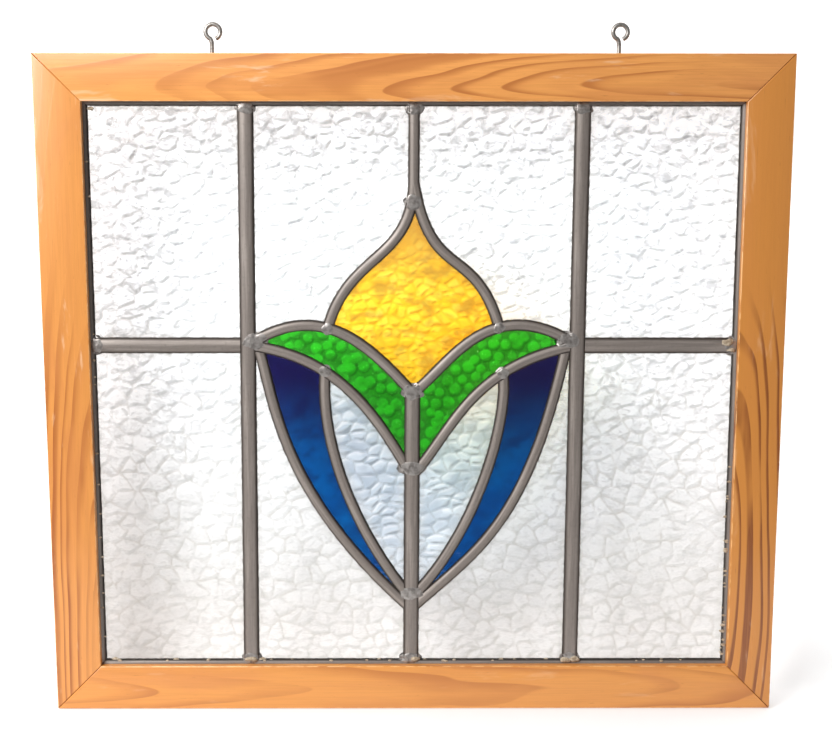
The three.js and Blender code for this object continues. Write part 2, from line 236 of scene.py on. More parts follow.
def use(tree, group_name, inputs):
    """A node group in use, with values or links on its inputs."""
    return add(tree, "ShaderNodeGroup", inputs, node_tree=bpy.data.node_groups[group_name])


def build_ring_group():
    """Growth rings of a sawn board, whose length runs along X and whose face is X by Z."""
    group, given, out = node_group(
        "Growth rings",
        [("Board", "NodeSocketVector", None), ("Pith Depth", "NodeSocketFloat", 0.05),
         ("Pith Aside", "NodeSocketFloat", 0.0), ("Tilt", "NodeSocketFloat", -0.1),
         ("Ring Width", "NodeSocketFloat", 0.004), ("Wander", "NodeSocketFloat", 0.004),
         ("Late Start", "NodeSocketFloat", 0.3), ("Seed", "NodeSocketFloat", 0.0)],
        [("Late Wood", "NodeSocketFloat"), ("Fibre", "NodeSocketFloat")],
    )
    board = given.outputs["Board"]
    seed = add(group, "ShaderNodeCombineXYZ", {"X": given.outputs["Seed"], "Z": given.outputs["Seed"]})
    moved = add(group, "ShaderNodeVectorMath", {0: board, 1: seed.outputs[0]}, operation="ADD").outputs[0]
    split = add(group, "ShaderNodeSeparateXYZ", {0: board})
    long_wave = cloud(group, stretched(group, moved, (5, 20, 26)), 1.0, 2.0, 0.5)
    wave = maths(group, "MULTIPLY", maths(group, "SUBTRACT", long_wave, 0.5), given.outputs["Wander"])
    depth = maths(group, "ADD", split.outputs["Y"], given.outputs["Pith Depth"])
    depth = maths(group, "MULTIPLY_ADD", split.outputs["X"], given.outputs["Tilt"], depth)
    aside = maths(group, "SUBTRACT", split.outputs["Z"], given.outputs["Pith Aside"])
    squares = maths(group, "MULTIPLY_ADD", depth, depth, maths(group, "MULTIPLY", aside, aside))
    radius = maths(group, "ADD", maths(group, "SQRT", squares), wave)
    rings = maths(group, "DIVIDE", radius, given.outputs["Ring Width"])
    years = add(group, "ShaderNodeCombineXYZ", {"X": rings, "Y": given.outputs["Seed"]}).outputs[0]
    uneven = cloud(group, years, 0.45)
    rings = maths(group, "ADD", rings, maths(group, "MULTIPLY", uneven, 2.2))
    share = maths(group, "FRACT", rings)
    darkening = step(group, share, given.outputs["Late Start"], 0.90)
    late = maths(group, "MULTIPLY", darkening, step(group, share, 0.93, 1.0, 1.0, 0.0))
    group.links.new(maths(group, "POWER", late, 1.7), out.inputs["Late Wood"])
    fibre = cloud(group, stretched(group, moved, (22, 900, 900)), 1.0, 4.0, 0.65)
    group.links.new(fibre, out.inputs["Fibre"])


def build_wear_group():
    """Patches of wear, streaks along a strip, and specks, all from one coordinate."""
    group, given, out = node_group(
        "Wear",
        [("Vector", "NodeSocketVector", None), ("Patch Scale", "NodeSocketFloat", 40.0),
         ("Streak Stretch", "NodeSocketVector", (12.0, 400.0, 400.0))],
        [("Patches", "NodeSocketFloat"), ("Streaks", "NodeSocketFloat"), ("Specks", "NodeSocketFloat")],
    )
    vector = given.outputs["Vector"]
    patches = cloud(group, vector, given.outputs["Patch Scale"], 5.0, 0.6, 0.3)
    group.links.new(step(group, patches, 0.38, 0.66), out.inputs["Patches"])
    inputs = {0: vector, 1: given.outputs["Streak Stretch"]}
    drawn_out = add(group, "ShaderNodeVectorMath", inputs, operation="MULTIPLY").outputs[0]
    group.links.new(cloud(group, drawn_out, 1.0, 4.0, 0.6), out.inputs["Streaks"])
    specks = cloud(group, vector, 900.0, 1.0, 0.5)
    group.links.new(step(group, specks, 0.70, 0.76), out.inputs["Specks"])


def build_lead_shade_group():
    """Painted shade on glass, heaviest at the leads and broken up by noise, and a rim of cement residue
    right at their edges.
    """
    group, given, out = node_group(
        "Lead shade and cement",
        [("Vector", "NodeSocketVector", None), ("From Lead", "NodeSocketFloat", 1.0),
         ("Reach", "NodeSocketFloat", 0.003)],
        [("Lead Shade", "NodeSocketFloat"), ("Rim", "NodeSocketFloat")],
    )
    ragged = cloud(group, given.outputs["Vector"], 260.0, 2.0, 0.6)
    shift = maths(group, "MULTIPLY", maths(group, "SUBTRACT", ragged, 0.5), 0.0022)
    distance = maths(group, "ADD", given.outputs["From Lead"], shift)
    share = maths(group, "DIVIDE", distance, given.outputs["Reach"])
    group.links.new(step(group, share, 0.0, 1.0, 1.0, 0.0), out.inputs["Lead Shade"])
    group.links.new(step(group, distance, 0.0002, 0.0016, 1.0, 0.0), out.inputs["Rim"])


def new_material(name):
    """An empty node material, with its output node."""
    material = bpy.data.materials.new(name)
    material.use_nodes = True
    material.node_tree.nodes.clear()
    return material, material.node_tree, add(material.node_tree, "ShaderNodeOutputMaterial")


def object_coordinates(tree):
    return add(tree, "ShaderNodeTexCoord").outputs["Object"]


def bumped(tree, height, distance, strength=1.0, under=None):
    """A bumped normal, laid over another one if that is given."""
    inputs = {"Height": height, "Distance": distance, "Strength": strength}
    if under:
        inputs["Normal"] = under
    return add(tree, "ShaderNodeBump", inputs).outputs["Normal"]


def wood_material(name, centre, upright, rings, figure, scuffs, seed, shade):
    """Varnished softwood. The board's own X runs along its length."""
    settings = bpy.context.scene.stained_glass
    material, tree, out = new_material(name)
    turn = (0, -math.pi / 2, 0) if upright else (0, 0, 0)
    moved = stretched(tree, object_coordinates(tree), (1, 1, 1), location=tuple(-c for c in centre))
    board = stretched(tree, moved, (1, 1, 1), rotation=turn)
    grown = use(tree, "Growth rings", {"Board": board, "Seed": seed, **rings})
    late, fibre = grown.outputs["Late Wood"], grown.outputs["Fibre"]
    along = add(tree, "ShaderNodeSeparateXYZ", {0: board})
    fade = step(tree, along.outputs["X"], *figure["fade"])
    patchy = cloud(tree, stretched(tree, board, (6, 30, 30), location=(seed, 0, 0)), 1.0, 3.0)
    strength = maths(tree, "MULTIPLY", maths(tree, "MULTIPLY", late, fade), step(tree, patchy, 0.3, 0.62))
    strength = maths(tree, "MULTIPLY", strength, figure["contrast"], clamp=True)
    # The member's shade multiplies the light wood colour: partly the board's own tone, partly painted
    # light.
    light = [value * part for value, part in zip(settings.wood_light, shade)]
    dark = [value * figure["late"] for value in settings.wood_dark]
    base = mixed(tree, strength, light, dark)
    broad = cloud(tree, stretched(tree, board, (7, 30, 34), location=(0, 0, seed + 3)), 1.0, 3.0, 0.55, 0.6)
    base = mixed(tree, step(tree, broad, 0.45, 0.7, 0.0, figure["blotch"]), base, (0.58, 0.21, 0.065))
    fine = step(tree, fibre, 0.25, 0.75, 0.0, 0.32)
    base = mixed(tree, fine, base, (0.50, 0.19, 0.04))
    worn = cloud(tree, stretched(tree, board, (14, 60, 90), location=(seed + 7, 0, 1)), 1.0, 4.0, 0.6, 0.4)
    scuffed = step(tree, worn, 0.60, 0.74, 0.0, scuffs)
    base = mixed(tree, scuffed, base, (0.93, 0.66, 0.44))
    edge = maths(tree, "ABSOLUTE", along.outputs["Z"])
    face = maths(tree, "ABSOLUTE", along.outputs["Y"])
    arris = maths(tree, "MULTIPLY", step(tree, edge, MEMBER_WIDTH / 2 - 0.0012, MEMBER_WIDTH / 2),
                  step(tree, face, MEMBER_DEPTH / 2 - 0.0012, MEMBER_DEPTH / 2 - 0.0003))
    rubbed = maths(tree, "MULTIPLY", arris, step(tree, cloud(tree, board, 120.0, 3.0), 0.4, 0.6, 0.0, 0.8))
    base = mixed(tree, rubbed, base, (0.90, 0.52, 0.22))
    pores = cloud(tree, stretched(tree, board, (120, 1500, 1500)), 1.0, 2.0)
    base = mixed(tree, step(tree, pores, 0.68, 0.8, 0.0, 0.45), base, (0.25, 0.09, 0.02))
    rough = maths(tree, "ADD", 0.34, maths(tree, "MULTIPLY", scuffed, 0.3))
    height = maths(tree, "ADD", maths(tree, "MULTIPLY", late, 0.4), maths(tree, "MULTIPLY", fibre, 0.6))
    shader = add(tree, "ShaderNodeBsdfPrincipled", {
        "Base Color": base, "Roughness": rough, "Coat Weight": 0.25, "Coat Roughness": 0.22,
        "Normal": bumped(tree, height, 0.00012, 0.5)})
    tree.links.new(shader.outputs[0], out.inputs[0])
    return material


def lead_material():
    """Weathered lead: dull warm grey, with lighter streaks along the strip that are partly wear and partly
    painted highlight, and dark edges of dirt and painted shade.
    """
    settings = bpy.context.scene.stained_glass
    material, tree, out = new_material("Weathered lead")
    strip = add(tree, "ShaderNodeAttribute", attribute_name="strip").outputs["Vector"]
    place = object_coordinates(tree)
    across = maths(tree, "ABSOLUTE", add(tree, "ShaderNodeSeparateXYZ", {0: strip}).outputs["Y"])
    wear = use(tree, "Wear", {"Vector": strip, "Patch Scale": 60.0, "Streak Stretch": (11, 1.6, 1)})
    patches, streaks = wear.outputs["Patches"], wear.outputs["Streaks"]
    tone = mixed(tree, patches, settings.lead_colour, (0.175, 0.145, 0.125))
    # Lighter streaks along the strip: partly wear, partly painted highlight.
    tone = mixed(tree, step(tree, streaks, 0.45, 0.72, 0.0, 0.5), tone, (0.44, 0.385, 0.345))
    mottled = cloud(tree, place, 320.0, 4.0, 0.6)
    tone = mixed(tree, step(tree, mottled, 0.5, 0.75, 0.0, 0.35), tone, (0.13, 0.11, 0.098))
    # Dark flange edges: dirt, and painted shade where the flange turns down to the glass.
    edge_shade_and_dirt = step(tree, across, 0.60, 0.98, 0.0, 0.9)
    tone = mixed(tree, edge_shade_and_dirt, tone, (0.045, 0.033, 0.025))
    crown = maths(tree, "MULTIPLY", maths(tree, "MULTIPLY", across, across), -1.0)
    rounded = bumped(tree, crown, 0.0016, 0.8)
    rough = maths(tree, "MULTIPLY_ADD", streaks, -0.25, 0.62)
    height = maths(tree, "MULTIPLY_ADD", streaks, 0.7, maths(tree, "MULTIPLY", mottled, 0.5))
    shader = add(tree, "ShaderNodeBsdfPrincipled", {
        "Base Color": tone, "Roughness": rough, "Metallic": 0.35,
        "Normal": bumped(tree, height, 0.00012, 0.45, rounded)})
    tree.links.new(shader.outputs[0], out.inputs[0])
    return material


def solder_material():
    """Solder: brighter than the lead, crinkled where it froze."""
    settings = bpy.context.scene.stained_glass
    material, tree, out = new_material("Solder")
    place = object_coordinates(tree)
    wear = use(tree, "Wear", {"Vector": place, "Patch Scale": 230.0})
    tone = mixed(tree, wear.outputs["Patches"], settings.solder_colour, (0.19, 0.17, 0.158))
    crinkle = cloud(tree, place, 480.0, 5.0, 0.65, 0.8)
    tone = mixed(tree, step(tree, crinkle, 0.60, 0.78, 0.0, 0.4), tone, (0.66, 0.63, 0.60))
    shader = add(tree, "ShaderNodeBsdfPrincipled", {
        "Base Color": tone, "Roughness": step(tree, crinkle, 0.35, 0.7, 0.5, 0.28), "Metallic": 0.6,
        "Normal": bumped(tree, crinkle, 0.0002, 0.5)})
    tree.links.new(shader.outputs[0], out.inputs[0])
    return material


def steel_material():
    """Zinc-plated wire, dulled."""
    material, tree, out = new_material("Plated wire")
    wear = use(tree, "Wear", {"Vector": object_coordinates(tree), "Patch Scale": 300.0})
    tone = mixed(tree, wear.outputs["Patches"], (0.42, 0.40, 0.375), (0.22, 0.20, 0.18))
    tone = mixed(tree, wear.outputs["Specks"], tone, (0.28, 0.20, 0.13))
    rough = maths(tree, "MULTIPLY_ADD", wear.outputs["Patches"], 0.2, 0.38)
    shader = add(tree, "ShaderNodeBsdfPrincipled", {
        "Base Color": tone, "Roughness": rough, "Metallic": 0.85, "Specular Tint": (0.25, 0.25, 0.25, 1.0),
        "Normal": bumped(tree, wear.outputs["Streaks"], 0.0001, 0.3)})
    tree.links.new(shader.outputs[0], out.inputs[0])
    return material


def plaster_material(name, light, dark, scale):
    """Dry cement or putty: matt and grainy."""
    material, tree, out = new_material(name)
    place = object_coordinates(tree)
    grain = cloud(tree, place, scale, 5.0, 0.7)
    tone = mixed(tree, step(tree, grain, 0.35, 0.68), dark, light)
    shader = add(tree, "ShaderNodeBsdfPrincipled", {
        "Base Color": tone, "Roughness": 0.85, "Normal": bumped(tree, grain, 0.0005, 0.8)})
    tree.links.new(shader.outputs[0], out.inputs[0])
    return material


def glass_material(name, tints, crease, shade_and_cement, ripple, fade=None):
    """Glass that tints what is seen through it, with light painted into its colour: highlights and shade
    from how the relief faces the light, darker creases, and painted shade near the leads and towards the
    foot. Its relief and the distance from the leads, which places the painted shade and the cement rim,
    come from the mesh.
    """
    material, tree, out = new_material(name)
    place = object_coordinates(tree)
    relief = add(tree, "ShaderNodeAttribute", attribute_name="relief").outputs["Vector"]
    cell = add(tree, "ShaderNodeSeparateXYZ", {0: relief})
    height = add(tree, "ShaderNodeSeparateXYZ", {0: place}).outputs["Z"]
    # The relief's tone value sets the tint; on amber and green glass it carries a painted highlight.
    tone = mixed(tree, step(tree, cell.outputs["Y"], 0.1, 0.9), tints[0], tints[1])
    # Painted highlights and shade from the relief's third value, which says how far the front faces the
    # light.
    shaded = step(tree, height, SIGHT_FOOT + 0.1, SIGHT_TOP - 0.1, ripple["shaded_low"], ripple["shaded"])
    shaded = maths(tree, "MULTIPLY", step(tree, cell.outputs["Z"], 0.5, 0.08), shaded)
    tone = mixed(tree, step(tree, cell.outputs["Z"], 0.5, 0.95, 0.0, ripple["lit"]), tone, ripple["light"])
    tone = mixed(tree, shaded, tone, ripple["dark"])
    # Patches of the third tint: painted shade on clear glass, the glass's own uneven colour on coloured
    # glass.
    mottle = cloud(tree, stretched(tree, place, (1, 1, 1.4)), ripple["mottle"], 2.0, 0.5, ripple["twist"])
    patchy = step(tree, height, SIGHT_FOOT + 0.1, SIGHT_TOP - 0.1, ripple["depth"] * 0.5, ripple["depth"])
    patchy = maths(tree, "MULTIPLY", step(tree, mottle, *ripple["patch"]), patchy)
    tone = mixed(tree, patchy, tone, tints[2])
    if fade:
        patch = maths(tree, "MULTIPLY", step(tree, height, fade["foot"], fade["top"]), fade["strength"])
        tone = mixed(tree, patch, tone, fade["colour"])
    # Darker creases: painted shade, stronger towards the foot.
    depth = step(tree, height, SIGHT_FOOT + 0.1, SIGHT_TOP - 0.1, crease["strength"], crease["above"])
    tone = mixed(tree, maths(tree, "MULTIPLY", cell.outputs["X"], depth), tone, crease["colour"])
    # Painted shade: the glass grows darker towards the foot of the panel, where less light falls.
    dust = step(tree, height, SIGHT_FOOT, CROSSBAR_Z + 0.06, shade_and_cement["dust"], 0.0)
    tone = mixed(tree, dust, tone, shade_and_cement["dust_colour"])
    from_lead = add(tree, "ShaderNodeAttribute", attribute_name="from_lead").outputs["Fac"]
    # Painted shade on the glass near the leads, and a dark rim of cement residue at their edges.
    near_lead = use(tree, "Lead shade and cement", {"Vector": place, "From Lead": from_lead, "Reach": shade_and_cement["reach"]})
    margin_shade = maths(tree, "MULTIPLY", near_lead.outputs["Lead Shade"], shade_and_cement["strength"])
    tone = mixed(tree, margin_shade, tone, shade_and_cement["colour"])
    tone = mixed(tree, maths(tree, "MULTIPLY", near_lead.outputs["Rim"], 0.8), tone, shade_and_cement["rim"])
    if ripple.get("specks"):
        specks = cloud(tree, place, 760.0, 0.0)
        tone = mixed(tree, step(tree, specks, 0.75, 0.80, 0.0, 0.45), tone, ripple["specks"])
    fine = cloud(tree, stretched(tree, place, (1, 1, 1.8)), ripple["scale"], 1.0, 0.5)
    shader = add(tree, "ShaderNodeBsdfPrincipled", {
        "Base Color": tone, "Roughness": 0.05, "IOR": 1.5, "Transmission Weight": 1.0,
        "Normal": bumped(tree, fine, ripple["height"], 0.6)})
    root = [math.sqrt(value) for value in tints[0]]
    shade = add(tree, "ShaderNodeBsdfTransparent", {"Color": (*root, 1.0)})
    shadow = add(tree, "ShaderNodeLightPath").outputs["Is Shadow Ray"]
    blend = add(tree, "ShaderNodeMixShader", {0: shadow, 1: shader.outputs[0], 2: shade.outputs[0]})
    tree.links.new(blend.outputs[0], out.inputs[0])
    return material


# Pieces

def finish_piece(name, bm, material, replaces=(), smooth=True):
    """Turns a bmesh into a piece that rides on the panel."""
    bmesh.ops.recalc_face_normals(bm, faces=bm.faces[:])
    mesh = bpy.data.meshes.new(name)
    bm.to_mesh(mesh)
    bm.free()
    mesh.materials.append(material)
    if smooth:
        mesh.shade_smooth()
    piece = bpy.data.objects.new(name, mesh)
    bpy.context.scene.collection.objects.link(piece)
    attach(piece, "root")
    if replaces:
        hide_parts(*replaces)
    return piece


def sharpen(piece, degrees):
    """Keeps the edges sharper than an angle crisp."""
    piece.data.set_sharp_from_angle(angle=math.radians(degrees))


def join(whole, part):
    """Adds one bmesh to another and frees it."""
    mesh = bpy.data.meshes.new("part")
    part.to_mesh(mesh)
    part.free()
    whole.from_mesh(mesh)
    bpy.data.meshes.remove(mesh)


def cut(bm, point, normal):
    """Cuts away what lies beyond a plane and closes the cut."""
    geometry = bm.verts[:] + bm.edges[:] + bm.faces[:]
    done = bmesh.ops.bisect_plane(bm, geom=geometry, plane_co=point, plane_no=normal, clear_outer=True)
    edges = [item for item in done["geom_cut"] if isinstance(item, bmesh.types.BMEdge)]
    open_edges = [edge for edge in edges if edge.is_boundary]
    if open_edges:
        bmesh.ops.edgeloop_fill(bm, edges=open_edges)


# Wooden frame

MITRE_GAP = 0.0002


def member_bar(length, openings):
    """A bar along X with its sight edge on -Z, grooved, mitred at both ends and eased.

    Each mitre may open a little towards its outer corner or its inner one."""
    settings = bpy.context.scene.stained_glass
    bm = bmesh.new()
    bmesh.ops.create_cube(bm, size=1.0)
    size = Matrix.Diagonal((length + MEMBER_WIDTH, MEMBER_DEPTH, MEMBER_WIDTH, 1.0))
    bmesh.ops.transform(bm, matrix=size, verts=bm.verts[:])
    for side in (-1, 1):
        geometry = bm.verts[:] + bm.edges[:] + bm.faces[:]
        bmesh.ops.bisect_plane(bm, geom=geometry, plane_co=(0, side * GROOVE_HALF, 0), plane_no=(0, 1, 0))
    sight = [face for face in bm.faces
             if face.normal.z < -0.5 and abs(face.calc_center_median().y) < GROOVE_HALF / 2]
    groove = bmesh.ops.extrude_face_region(bm, geom=sight)
    moved = [item for item in groove["geom"] if isinstance(item, bmesh.types.BMVert)]
    bmesh.ops.delete(bm, geom=sight, context="FACES")
    bmesh.ops.translate(bm, vec=(0, 0, GROOVE_DEPTH), verts=moved)
    for side, opening in zip((-1, 1), openings):
        slant = math.atan(1.0 - opening)
        corner = Vector((side * (length / 2 - MITRE_GAP), 0, MEMBER_WIDTH / 2))
        cut(bm, corner, Vector((side * math.cos(slant), 0, -math.sin(slant))))
    bmesh.ops.remove_doubles(bm, verts=bm.verts[:], dist=1e-6)
    bmesh.ops.recalc_face_normals(bm, faces=bm.faces[:])
    eased = [edge for edge in bm.edges if not edge.is_boundary and edge.calc_face_angle(0) > 0.6
             and min(abs(vert.co.y) for vert in edge.verts) > GROOVE_HALF + 0.001]
    bmesh.ops.bevel(bm, geom=eased, offset=settings.edge_round, segments=3, profile=0.5,
                    affect="EDGES", material=-1)
    return bm


# Each member's shade is partly the board's own tone and partly painted light. It is paler on the top rail
# and darker on the bottom rail and right stile, as the light falls from the upper left.
MEMBERS = {
    "frame_top_rail": {
        "turn": 0, "openings": (0.012, 0.003), "seed": 3.1, "scuffs": 0.45, "shade": (1.08, 1.10, 1.20),
        "rings": {"Pith Depth": 0.036, "Pith Aside": -0.006, "Tilt": -0.09, "Ring Width": 0.0060,
                  "Wander": 0.014},
        "figure": {"late": 1.0, "fade": (-0.42, -0.12), "contrast": 0.75, "blotch": 0.40}},
    "frame_bottom_rail": {
        "turn": 2, "openings": (0.004, 0.002), "seed": 8.4, "scuffs": 0.15, "shade": (0.93, 0.90, 0.80),
        "rings": {"Pith Depth": 0.038, "Pith Aside": -0.003, "Tilt": 0.055, "Ring Width": 0.0064,
                  "Wander": 0.015},
        "figure": {"late": 1.0, "fade": (-0.5, -0.4), "contrast": 0.62, "blotch": 0.45}},
    "frame_left_stile": {
        "turn": 1, "openings": (0.002, 0.012), "seed": 5.7, "scuffs": 0.55, "shade": (0.95, 0.92, 0.90),
        "rings": {"Pith Depth": 0.034, "Pith Aside": 0.024, "Tilt": -0.10, "Ring Width": 0.0062,
                  "Wander": 0.012},
        "figure": {"late": 0.9, "fade": (-0.15, 0.10), "contrast": 1.1, "blotch": 0.50}},
    "frame_right_stile": {
        "turn": 3, "openings": (0.004, 0.003), "seed": 1.9, "scuffs": 0.2, "shade": (0.78, 0.73, 0.58),
        "rings": {"Pith Depth": 0.034, "Pith Aside": -0.025, "Tilt": -0.15, "Ring Width": 0.0082,
                  "Wander": 0.012, "Late Start": 0.52},
        "figure": {"late": 0.55, "fade": (-0.10, 0.02), "contrast": 1.9, "blotch": 0.22}},
}


class STAINED_OT_frame_members(bpy.types.Operator):
    """Builds the four mitred members of the wooden frame"""

    bl_idname = "stained.frame_members"
    bl_label = "Frame members"

    def execute(self, context):
        width = RIGHT_HIGH.x - LEFT_LOW.x
        height = TOP_HIGH.z - FOOT_LOW.z
        for name, member in MEMBERS.items():
            level = member["turn"] % 2 == 0
            bm = member_bar(width if level else height, member["openings"])
            out = ((height if level else width) - MEMBER_WIDTH) / 2
            bmesh.ops.translate(bm, vec=(0, 0, out), verts=bm.verts[:])
            turn = Matrix.Rotation(-member["turn"] * math.pi / 2, 4, "Y")
            place = Matrix.Translation((CENTRE_X, 0, CENTRE_Z)) @ turn
            bmesh.ops.transform(bm, matrix=place, verts=bm.verts[:])
            low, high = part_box(name)
            material = wood_material(name + "_wood", (low + high) / 2, not level, member["rings"],
                                     member["figure"], member["scuffs"], member["seed"], member["shade"])
            piece = finish_piece(name, bm, material, (name,))
            sharpen(piece, 35)
        return {"FINISHED"}


# Lines of the leading

def on_panel(across, above_crossbar):
    """A point of the pattern, which leans a little to the left towards its foot."""
    z = CROSSBAR_Z + above_crossbar
    sunk = (SIGHT_TOP - z) / (SIGHT_TOP - SIGHT_FOOT)
    return Vector((CENTRE_X + across - LEAN * sunk, 0, z))


def bow(start, end, leave, arrive):
    """A bow from one joint to another. Its two handles are shares of the way across and down."""
    run = end - start
    handles = [start + Vector((share[0] * run.x, 0, share[1] * run.z)) for share in (leave, arrive)]
    return (start, *handles, end)


def on_bow(points, share):
    """The point of a straight line or a bow at a share of its way."""
    while len(points) > 1:
        points = [a.lerp(b, share) for a, b in zip(points, points[1:])]
    return points[0]


BORDER_TOP_UP = BORDER_TOP_Z - CROSSBAR_Z
BORDER_FOOT_UP = BORDER_FOOT_Z - CROSSBAR_Z
FORK = on_panel(0, FORK_RISE)
LEAVES_MEET = on_panel(0, -LEAF_MEETING)
LEAF_FOOT = on_panel(0, -LEAF_DROP)
PETAL_FOOT = on_panel(0, -PETAL_DROP)
SHIELD_FOOT = on_panel(0, -SHIELD_DROP)
CROSSING_LEFT = on_panel(-UPRIGHT_OFFSET, 0)
CROSSING_RIGHT = on_panel(UPRIGHT_OFFSET, 0)
LEAF_TOP_LEFT = bow(CROSSING_LEFT, LEAVES_MEET, (0.45, -1.03), (0.75, 0.05))
LEAF_TOP_RIGHT = bow(CROSSING_RIGHT, LEAVES_MEET, (0.55, -1.22), (0.79, 0.52))
LEAF_UNDER_LEFT = bow(CROSSING_LEFT, LEAF_FOOT, (0.58, 0.08), (0.8, 0.58))
LEAF_UNDER_RIGHT = bow(CROSSING_RIGHT, LEAF_FOOT, (0.66, 0.15), (0.76, 0.68))
PETAL_OUTER_LEFT = bow(
    on_bow(LEAF_UNDER_LEFT, OUTER_PETAL_SHARE), SHIELD_FOOT, (0.11, 0.18), (0.09, 0.53))
PETAL_OUTER_RIGHT = bow(
    on_bow(LEAF_UNDER_RIGHT, OUTER_PETAL_SHARE), SHIELD_FOOT, (0.24, 0.67), (0.56, 0.77))
PETAL_INNER_LEFT = bow(
    on_bow(LEAF_UNDER_LEFT, PETAL_SHARES["left"]), PETAL_FOOT, (-0.07, 0.35), (0.4, 0.73))
PETAL_INNER_RIGHT = bow(
    on_bow(LEAF_UNDER_RIGHT, PETAL_SHARES["right"]), PETAL_FOOT, (-0.08, 0.16), (0.21, 0.68))
BUD_LEFT = bow(FORK, on_bow(LEAF_TOP_LEFT, BUD_SHARES["left"]), (0.02, 0.54), (0.75, 0.47))
BUD_RIGHT = bow(FORK, on_bow(LEAF_TOP_RIGHT, BUD_SHARES["right"]), (0.2, 0.7), (0.71, 0.4))


def upright(across):
    """The line of an upright lead, from border to border."""
    return (on_panel(across, BORDER_TOP_UP), on_panel(across, BORDER_FOOT_UP))


def crossbar(crossing, hand):
    """The line of a crossbar, from its upright to the border."""
    return (crossing, Vector((CENTRE_X + hand * BORDER_HALF_WIDTH, 0, CROSSBAR_Z)))


BROAD = {"width": BROAD_WIDTH, "crown": BROAD_CROWN}
SLIM = {"width": SLIM_WIDTH, "crown": SLIM_CROWN}
STRIPS = {
    "came_upright_left": {"bows": [upright(-UPRIGHT_OFFSET)], **BROAD},
    "came_upright_right": {"bows": [upright(UPRIGHT_OFFSET)], **BROAD},
    "came_crossbar_left": {"bows": [crossbar(CROSSING_LEFT, -1)], **BROAD},
    "came_crossbar_right": {"bows": [crossbar(CROSSING_RIGHT, 1)], **BROAD},
    "came_leaf_top_left": {"bows": [LEAF_TOP_LEFT], **SLIM},
    "came_leaf_top_right": {"bows": [LEAF_TOP_RIGHT], **SLIM},
    "came_stem_and_bud_left": {"bows": [(on_panel(0, BORDER_TOP_UP), FORK), BUD_LEFT], **SLIM},
    "came_bud_right": {"bows": [BUD_RIGHT], **SLIM},
    "came_centre": {"bows": [(LEAVES_MEET, on_panel(0, BORDER_FOOT_UP))], **BROAD},
    "came_leaf_under_left": {"bows": [LEAF_UNDER_LEFT], **SLIM},
    "came_leaf_under_right": {"bows": [LEAF_UNDER_RIGHT], **SLIM},
    "came_petal_outer_left": {"bows": [PETAL_OUTER_LEFT], **SLIM},
    "came_petal_outer_right": {"bows": [PETAL_OUTER_RIGHT], **SLIM},
    "came_petal_inner_left": {"bows": [PETAL_INNER_LEFT], **SLIM},
    "came_petal_inner_right": {"bows": [PETAL_INNER_RIGHT], **SLIM},
}


def stations(bows, spacing):
    """Evenly spaced points along a run of bows, with the direction of travel at each."""
    fine = [on_bow(points, i / 60) for points in bows for i in range(61)]
    apart = [point for i, point in enumerate(fine) if i == 0 or (point - fine[i - 1]).length > 1e-7]
    line = np.array(apart)
    steps = np.linalg.norm(np.diff(line, axis=0), axis=1)
    run = np.concatenate([[0.0], np.cumsum(steps)])
    count = max(2, round(run[-1] / spacing) + 1)
    wanted = np.linspace(0.0, run[-1], count)
    places = np.stack([np.interp(wanted, run, line[:, axis]) for axis in range(3)], axis=1)
    headings = np.gradient(places, axis=0)
    travel = [(Vector(place), Vector(way).normalized()) for place, way in zip(places, headings)]
    return travel, wanted


def station_matrix(place, heading):
    """Turns a section drawn as across, depth to its place on a line."""
    across = Vector((-heading.z, 0, heading.x))
    return Matrix((
        (across.x, 0, heading.x, place.x),
        (across.y, -1, heading.y, place.y),
        (across.z, 0, heading.z, place.z),
        (0, 0, 0, 1),
    ))


def sweep(bm, section, bows, spacing, width=1.0):
    """Draws a closed section along a line. Section points are across the line and out of the front."""
    strip = bm.verts.layers.float_vector.get("strip") or bm.verts.layers.float_vector.new("strip")
    line, runs = stations(bows, spacing)
    matrix = station_matrix(*line[0])
    ring = [bm.verts.new(matrix @ Vector((across, depth, 0))) for across, depth in section]
    for vert, (across, depth) in zip(ring, section):
        vert[strip] = (0.0, across / width, depth)
    edges = [bm.edges.new((a, b)) for a, b in zip(ring, ring[1:] + ring[:1])]
    bm.faces.new(ring)
    for (place, heading), run in zip(line[1:], runs[1:]):
        following = station_matrix(place, heading)
        made = bmesh.ops.extrude_edge_only(bm, edges=edges)["geom"]
        ring = [item for item in made if isinstance(item, bmesh.types.BMVert)]
        edges = [item for item in made if isinstance(item, bmesh.types.BMEdge)
                 and item.verts[0] in ring and item.verts[1] in ring]
        bmesh.ops.transform(bm, matrix=following @ matrix.inverted(), verts=ring)
        for vert in ring:
            vert[strip] = (run, *vert[strip][1:])
        matrix = following
    bmesh.ops.edgeloop_fill(bm, edges=edges)


def flange_height(across, width, crown):
    """How far the rounded back of a flange stands over its channel."""
    share = np.clip(np.abs(across) / (width / 2), 0.0, 1.0)
    return FLANGE_EDGE + (crown - FLANGE_EDGE) * np.sqrt(np.clip(1.0 - share ** 2.1, 0.0, 1.0))


def came_section(width, crown):
    """The H of a came: two rounded flanges on a heart."""
    shares = [1.0, 0.97, 0.86, 0.68, 0.46, 0.23, 0.0]
    back = [(share * width / 2, CHANNEL_HALF + float(flange_height(share * width / 2, width, crown)))
            for share in shares]
    right = [(HEART_HALF, CHANNEL_HALF), (width / 2, CHANNEL_HALF), *back]
    front = right + [(-across, depth) for across, depth in reversed(right[:-1])]
    return front + [(-across, -depth) for across, depth in front]


